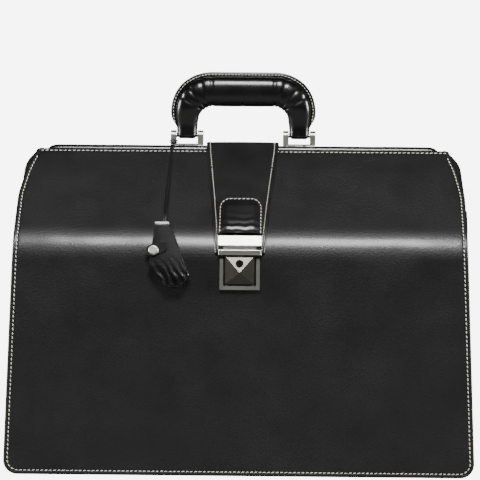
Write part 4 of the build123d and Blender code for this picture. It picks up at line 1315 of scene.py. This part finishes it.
# ---------------------------------------------------------------- key bell and its lace
@dataclass(frozen=True)
class KeyBell:
    """A folded leather bell that keeps the keys, hung by a doubled lace from the left bracket."""

    finishes: Palette
    tilt: float = radians(12)
    hole: tuple[float, float, float] = (-68.7 * MM, -84.78 * MM, 227 * MM)
    left: Table = ((-8.5, 3), (-10.2, -12), (-12.0, -26), (-14.3, -39), (-3.5, -51), (3, -57))
    right: Table = ((4.8, 3), (9.4, -9), (14.1, -21.3), (18.8, -33.7), (23.5, -46), (16, -56.5))
    leaf: float = 1.5 * MM
    full: float = 6.4 * MM
    ear_x: float = -65.0
    lace: float = 0.65 * MM

    def point(self, u: float, v: float, out: float) -> Vector:
        """Point on the bell's plane: right, up and out from the hole, in metres."""
        up = Vector((0, sin(self.tilt), cos(self.tilt)))
        away = Vector((0, -cos(self.tilt), sin(self.tilt)))
        return Vector(self.hole) + Vector((u, 0, 0)) + up * v + away * out

    def leaves(self) -> Piece:
        """Build the folded sheet: front leaf, rounded fold and rear leaf."""
        fold = [(c, 1.0) for c in (0.0, 0.015, 0.04, 0.08)]
        front = fold + [(0.08 + 0.84 * i / 20, 1.0) for i in range(1, 21)]
        front += [(0.96, 0.97), (0.985, 0.88), (1.0, 0.68)]
        strip = front + [(1.004, 0.5)] + [(c, 1 - level) for c, level in reversed(front)]

        def along(table: Table, share: float) -> Vector:
            at = share * (len(table) - 1)
            low = min(int(at), len(table) - 2)
            a, b = Vector(table[low]), Vector(table[low + 1])
            return a.lerp(b, at - low) * MM

        def place(across: float, down: float) -> Vector:
            c, level = strip[round(across * (len(strip) - 1))]
            a, b = along(self.left, down), along(self.right, down)
            spot = a.lerp(b, c)
            puff = 0.7 * MM * sin(pi * min(c, 1)) * sin(pi * down) * (1 if level > 0.5 else -0.3)
            low = smooth(0.45, 0.95, down)
            stray = 2 * ripple(self.point(spot.x, spot.y, 0), 91.0, 8 * MM)
            crumple = 0.6 * MM * low * sin(spot.x / MM * 0.9 + spot.y / MM * 0.55 + stray)
            edge = -0.4 * MM * (1 - smooth(0, 0.03, down)) - 0.4 * MM * smooth(0.975, 1, down)
            sign = 1 if level > 0.5 else -1
            return self.point(spot.x, spot.y, self.full * level + puff + (crumple * 0.6 + edge) * sign)

        bm = mapped_grid(len(strip) - 1, 44, place)
        bmesh.ops.reverse_faces(bm, faces=bm.faces)
        return cut_sheet(bm, "bell_leaves", self.leaf, self.finishes.bell, self.finishes.edge)

    def tab(self) -> Piece:
        """Build the closing tab: a leather tongue with rounded ends under the snap."""
        bm = bmesh.new()
        made = bmesh.ops.create_circle(bm, segments=40, radius=5.5 * MM, cap_ends=True)
        turn = Matrix.Rotation(radians(24), 3, "Z")
        for vert in made["verts"]:
            vert.co.x += 4.5 * MM * (1 if vert.co.x > 0 else -1)
        lifted = bmesh.ops.extrude_face_region(bm, geom=bm.faces[:])["geom"]
        for vert in lifted:
            if isinstance(vert, bmesh.types.BMVert):
                vert.co.z += 1.7 * MM
        rims = [edge for edge in bm.edges if len(edge.link_faces) == 2 and edge.calc_face_angle(0) > 1]
        look = {"segments": 2, "profile": 0.5, "affect": "EDGES", "material": -1}
        bmesh.ops.bevel(bm, geom=rims, offset=0.4 * MM, **look)
        for vert in bm.verts:
            spot = turn @ Vector((vert.co.x, vert.co.y, 0))
            out = self.full + 0.1 * MM + vert.co.z
            vert.co = self.point(spot.x - 6.8 * MM, spot.y - 22.2 * MM, out)
        bmesh.ops.recalc_face_normals(bm, faces=bm.faces)
        return finish_mesh(bm, "bell_tab", self.finishes.bell, smooth=False)

    def strands(self) -> None:
        """Build the lace's two strands, from the hitch down to the bell's hole."""
        for word, s in (("outer", -0.9), ("inner", 0.9)):
            x = self.ear_x + s
            route = [
                (x, -4.0, 303.4),
                (x - 0.2, -9.0, 303.2),
                (x - 0.5, -14.6, 298.9),
                (x - 1.0, -22.4, 290.7),
                (x - 1.8 + 0.2 * s, -36.6, 276.8),
                (x - 2.6 + 0.5 * s, -55.6, 259.9),
                (x - 3.2 + 0.2 * s, -73.6, 245.6),
                (x - 3.5 - 0.1 * s, -86.04, 236.47),
                (x - 3.7 - 0.15 * s, -88.23, 226.20),
            ]
            curve = bpy.data.curves.new(f"lace_{word}", "CURVE")
            curve.dimensions = "3D"
            curve.bevel_depth = self.lace
            curve.bevel_resolution = 3
            curve.resolution_u = 8
            curve.use_fill_caps = True
            spline = curve.splines.new("NURBS")
            spline.points.add(len(route) - 1)
            for spot, place in zip(spline.points, route):
                spot.co = (*[value * MM for value in place], 1.0)
            spline.order_u = 3
            spline.use_endpoint_u = True
            curve.materials.append(self.finishes.lace)
            strand = bpy.data.objects.new(f"lace_{word}", curve)
            bpy.context.collection.objects.link(strand)
            mount(strand, "rear_frame", "waxed_lace", f"lace_strand_{word}")
            [value * MM for value in route[0]]

    def hitch(self) -> Piece:
        """Build the hitch: two turns round the bracket's ear, drawn into a small lump in front."""
        bm = bmesh.new()
        for z in (302.6 * MM, 304.2 * MM):
            path, count = [], 48
            for i in range(count):
                c, s = cos(2 * pi * i / count), sin(2 * pi * i / count)
                x = self.ear_x + 3.4 * abs(c) ** 0.5 * (1 if c > 0 else -1)
                y = 6.6 + 5.3 * abs(s) ** 0.5 * (1 if s > 0 else -1)
                path.append(Vector((x * MM, y * MM, z)))
            self.tube(bm, path, self.lace)
        for dx, dz, turn in ((-0.9, 0.4, 0.5), (0.9, -0.2, -0.5), (0.0, 0.6, 0.0)):
            spot = Vector((self.ear_x + dx, -0.9, 303.5 + dz)) * MM
            place = Matrix.Translation(spot) @ Matrix.Rotation(turn, 4, "Y")
            size = Matrix.Diagonal((1.7 * MM, 2.4 * MM, 1.5 * MM, 1))
            bmesh.ops.create_uvsphere(bm, u_segments=16, v_segments=10, radius=1.0, matrix=place @ size)
        return finish_mesh(bm, "lace_hitch", self.finishes.lace)

    @staticmethod
    def tube(bm: Shape, path: list[Vector], radius: float) -> None:
        """Add a closed tube that follows a loop of points."""
        loops = []
        for before, point, after in zip(path[-1:] + path[:-1], path, path[1:] + path[:1]):
            along = (after - before).normalized()
            turn = Vector((0, 0, 1)).rotation_difference(along).to_matrix().to_4x4()
            place = Matrix.Translation(point) @ turn
            made = bmesh.ops.create_circle(bm, segments=8, radius=radius, matrix=place)
            loops.append(list({edge for vert in made["verts"] for edge in vert.link_edges}))
        for low, high in zip(loops, loops[1:] + loops[:1]):
            bmesh.ops.bridge_loops(bm, edges=low + high)
        bmesh.ops.recalc_face_normals(bm, faces=bm.faces)

    def build(self) -> None:
        """Make the bell, tab, strands and hitch."""
        leaves, tab, hitch = self.leaves(), self.tab(), self.hitch()
        mount(leaves, "key_bell", "black_leather", "clochette_leather")
        mount(tab, "key_bell", "black_leather", "clochette_tab")
        mount(hitch, "rear_frame", "waxed_lace", "lace_knot")
        self.strands()
        LOG.info("key bell")


# ---------------------------------------------------------------- metal parts and the stage
@dataclass(frozen=True)
class Metalwork:
    """The metal parts, each with its plating and softly broken edges."""

    finishes: Palette

    def dress(self, nodes: dict[str, Piece]) -> None:
        """Give each carried-over node its finish.

        Args:
            nodes: CAD nodes by name.
        """
        look = self.finishes
        groups = (
            (look.satin, 0.35, ("bracket_left", "bracket_right")),
            (look.satin, 0.35, ("handle_pin_left", "handle_pin_right")),
            (look.satin, 0.25, ("lock_frame", "clochette_snap")),
            (look.polished, 0.0, ("bracket_screws", "keyhole_ring")),
            (look.satin, 0.0, ("hasp", "hasp_rivets", "lock_rivets")),
            (look.gun, 0.0, ("lock_button",)),
            (look.dark, 0.2, ("lock_plate", "hasp_catch", "button_stem", "key_rotor")),
            (look.steel, 0.25, ("front_bar", "back_bar", "lock_backing")),
            (look.steel, 0.25, ("hinge_pin_left", "hinge_pin_right")),
            (look.key, 0.15, ("key_front", "key_rear")),
        )
        for material, edge, names in groups:
            for name in names:
                node = nodes[name]
                node.data.materials.clear()
                node.data.materials.append(material)
                if edge:
                    bevel = node.modifiers.new("broken_edges", "BEVEL")
                    bevel.width = edge * MM
                    bevel.segments = 2
                    bevel.limit_method = "ANGLE"
                    bevel.angle_limit = radians(40)
                    bevel.use_clamp_overlap = True
        LOG.info("metal parts")


@dataclass(frozen=True)
class Softbox:
    """A soft studio light: where it is, where it points, its size and its power."""

    name: str
    place: tuple[float, float, float]
    aim: tuple[float, float, float]
    size: tuple[float, float]
    watts: float

    def hang(self) -> None:
        """Add the light."""
        light = bpy.data.lights.new(self.name, "AREA")
        light.shape = "RECTANGLE"
        light.size, light.size_y = self.size
        light.energy = self.watts
        lamp = bpy.data.objects.new(self.name, light)
        lamp.location = self.place
        line = Vector(self.aim) - Vector(self.place)
        lamp.rotation_euler = line.to_track_quat("-Z", "Y").to_euler()
        bpy.context.collection.objects.link(lamp)


@dataclass(frozen=True)
class Studio:
    """A pale plain floor under soft boxes, seen straight from the front."""

    aim: tuple[float, float, float] = (0.0, -0.09, 0.2152)
    distance: float = 3.0
    azimuth: float = radians(1.3)
    elevation: float = radians(2.2)
    roll: float = radians(0.45)
    lens: float = 248.0
    boxes: tuple[Softbox, ...] = (
        Softbox("left_key", (-0.125, -1.28, 1.44), (-0.08, -0.07, 0.2), (0.17, 0.46), 13.0),
        Softbox("right_key", (0.135, -1.28, 1.44), (0.08, -0.07, 0.2), (0.17, 0.46), 15.0),
        Softbox("left_fill", (-2.9, -0.9, 0.9), (0.0, 0.0, 0.22), (0.6, 1.2), 80.0),
        Softbox("right_fill", (2.9, -0.9, 0.9), (0.0, 0.0, 0.22), (0.6, 1.2), 80.0),
        Softbox("left_strip", (-1.4, -0.35, 0.6), (-0.1, 0.0, 0.25), (0.2, 0.9), 6.0),
        Softbox("right_strip", (1.4, -0.35, 0.6), (0.1, 0.0, 0.25), (0.2, 0.9), 6.0),
        Softbox("behind", (0.0, 1.7, 1.0), (0.0, 0.0, 0.2), (1.6, 0.5), 10.0),
    )

    def floor(self) -> None:
        """Add the floor."""
        bm = bmesh.new()
        bmesh.ops.create_grid(bm, x_segments=1, y_segments=1, size=12.0)
        material, tree, shader, place = new_material("studio_floor")
        dust = noise_of(tree, place, 1 / 6, 3.0)
        two_tone(tree, shader, dust.outputs["Fac"], "6f6e6c", "757472")
        shader.inputs["Roughness"].default_value = 0.8
        # to the eye it is a paper sweep burnt out to white; the leather mirrors it as mid grey
        glow = add_node(tree, "ShaderNodeEmission", Color=srgb("ffffff"), Strength=8.6)
        path = add_node(tree, "ShaderNodeLightPath")
        seen = {0: path.outputs["Is Camera Ray"]}
        share = add_node(tree, "ShaderNodeMath", seen, operation="MULTIPLY")
        share.inputs[1].default_value = 0.8
        both = add_node(
            tree, "ShaderNodeMixShader", {0: share.outputs[0], 1: shader.outputs[0], 2: glow.outputs[0]}
        )
        tree.links.new(both.outputs[0], tree.nodes["Material Output"].inputs["Surface"])
        floor = finish_mesh(bm, "studio_floor", material)

    def camera(self) -> None:
        """Add the camera."""
        lens = bpy.data.cameras.new("camera")
        lens.lens = self.lens
        lens.sensor_width = 36.0
        lens.clip_end = 60.0
        view = bpy.data.objects.new("camera", lens)
        bpy.context.collection.objects.link(view)
        flat = cos(self.elevation)
        away = Vector((sin(self.azimuth) * flat, -cos(self.azimuth) * flat, sin(self.elevation)))
        view.location = Vector(self.aim) + away * self.distance
        look = (Vector(self.aim) - view.location).to_track_quat("-Z", "Y")
        view.rotation_euler = (look.to_matrix() @ Matrix.Rotation(self.roll, 3, "Z")).to_euler()
        bpy.context.scene.camera = view

    def world(self) -> None:
        """Light everything evenly with a pale surround."""
        world = bpy.data.worlds.new("surround")
        bpy.context.scene.world = world
        world.use_nodes = True
        tree = world.node_tree
        back = tree.nodes["Background"]
        back.inputs["Color"].default_value = srgb("8a8c90")
        back.inputs["Strength"].default_value = 0.035
        seen = add_node(tree, "ShaderNodeBackground", Color=srgb("ffffff"), Strength=7.0)
        path = add_node(tree, "ShaderNodeLightPath")
        parts = {0: path.outputs["Is Camera Ray"], 1: back.outputs[0], 2: seen.outputs[0]}
        both = add_node(tree, "ShaderNodeMixShader", parts)
        tree.links.new(both.outputs[0], tree.nodes["World Output"].inputs["Surface"])

    def build(self) -> None:
        """Set the stage."""
        self.floor()
        self.camera()
        self.world()
        for box in self.boxes:
            box.hang()


def main() -> None:
    """Build the whole bag round its frame."""
    logging.basicConfig(level=logging.INFO, format="%(message)s")
    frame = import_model()
    finishes = Palette.mixed()
    for half in Half:
        Skin(half, finishes).build()
        Rim(half, finishes).build()
    for side in (-1, 1):
        Gusset(side, finishes).build()
    Base(finishes).build()
    Strap(finishes).build()
    Chape(finishes).build()
    Handle(finishes).build()
    KeyBell(finishes).build()
    Metalwork(finishes).dress(frame["nodes"])
    Studio().build()


if __name__ == "__main__":
    main()
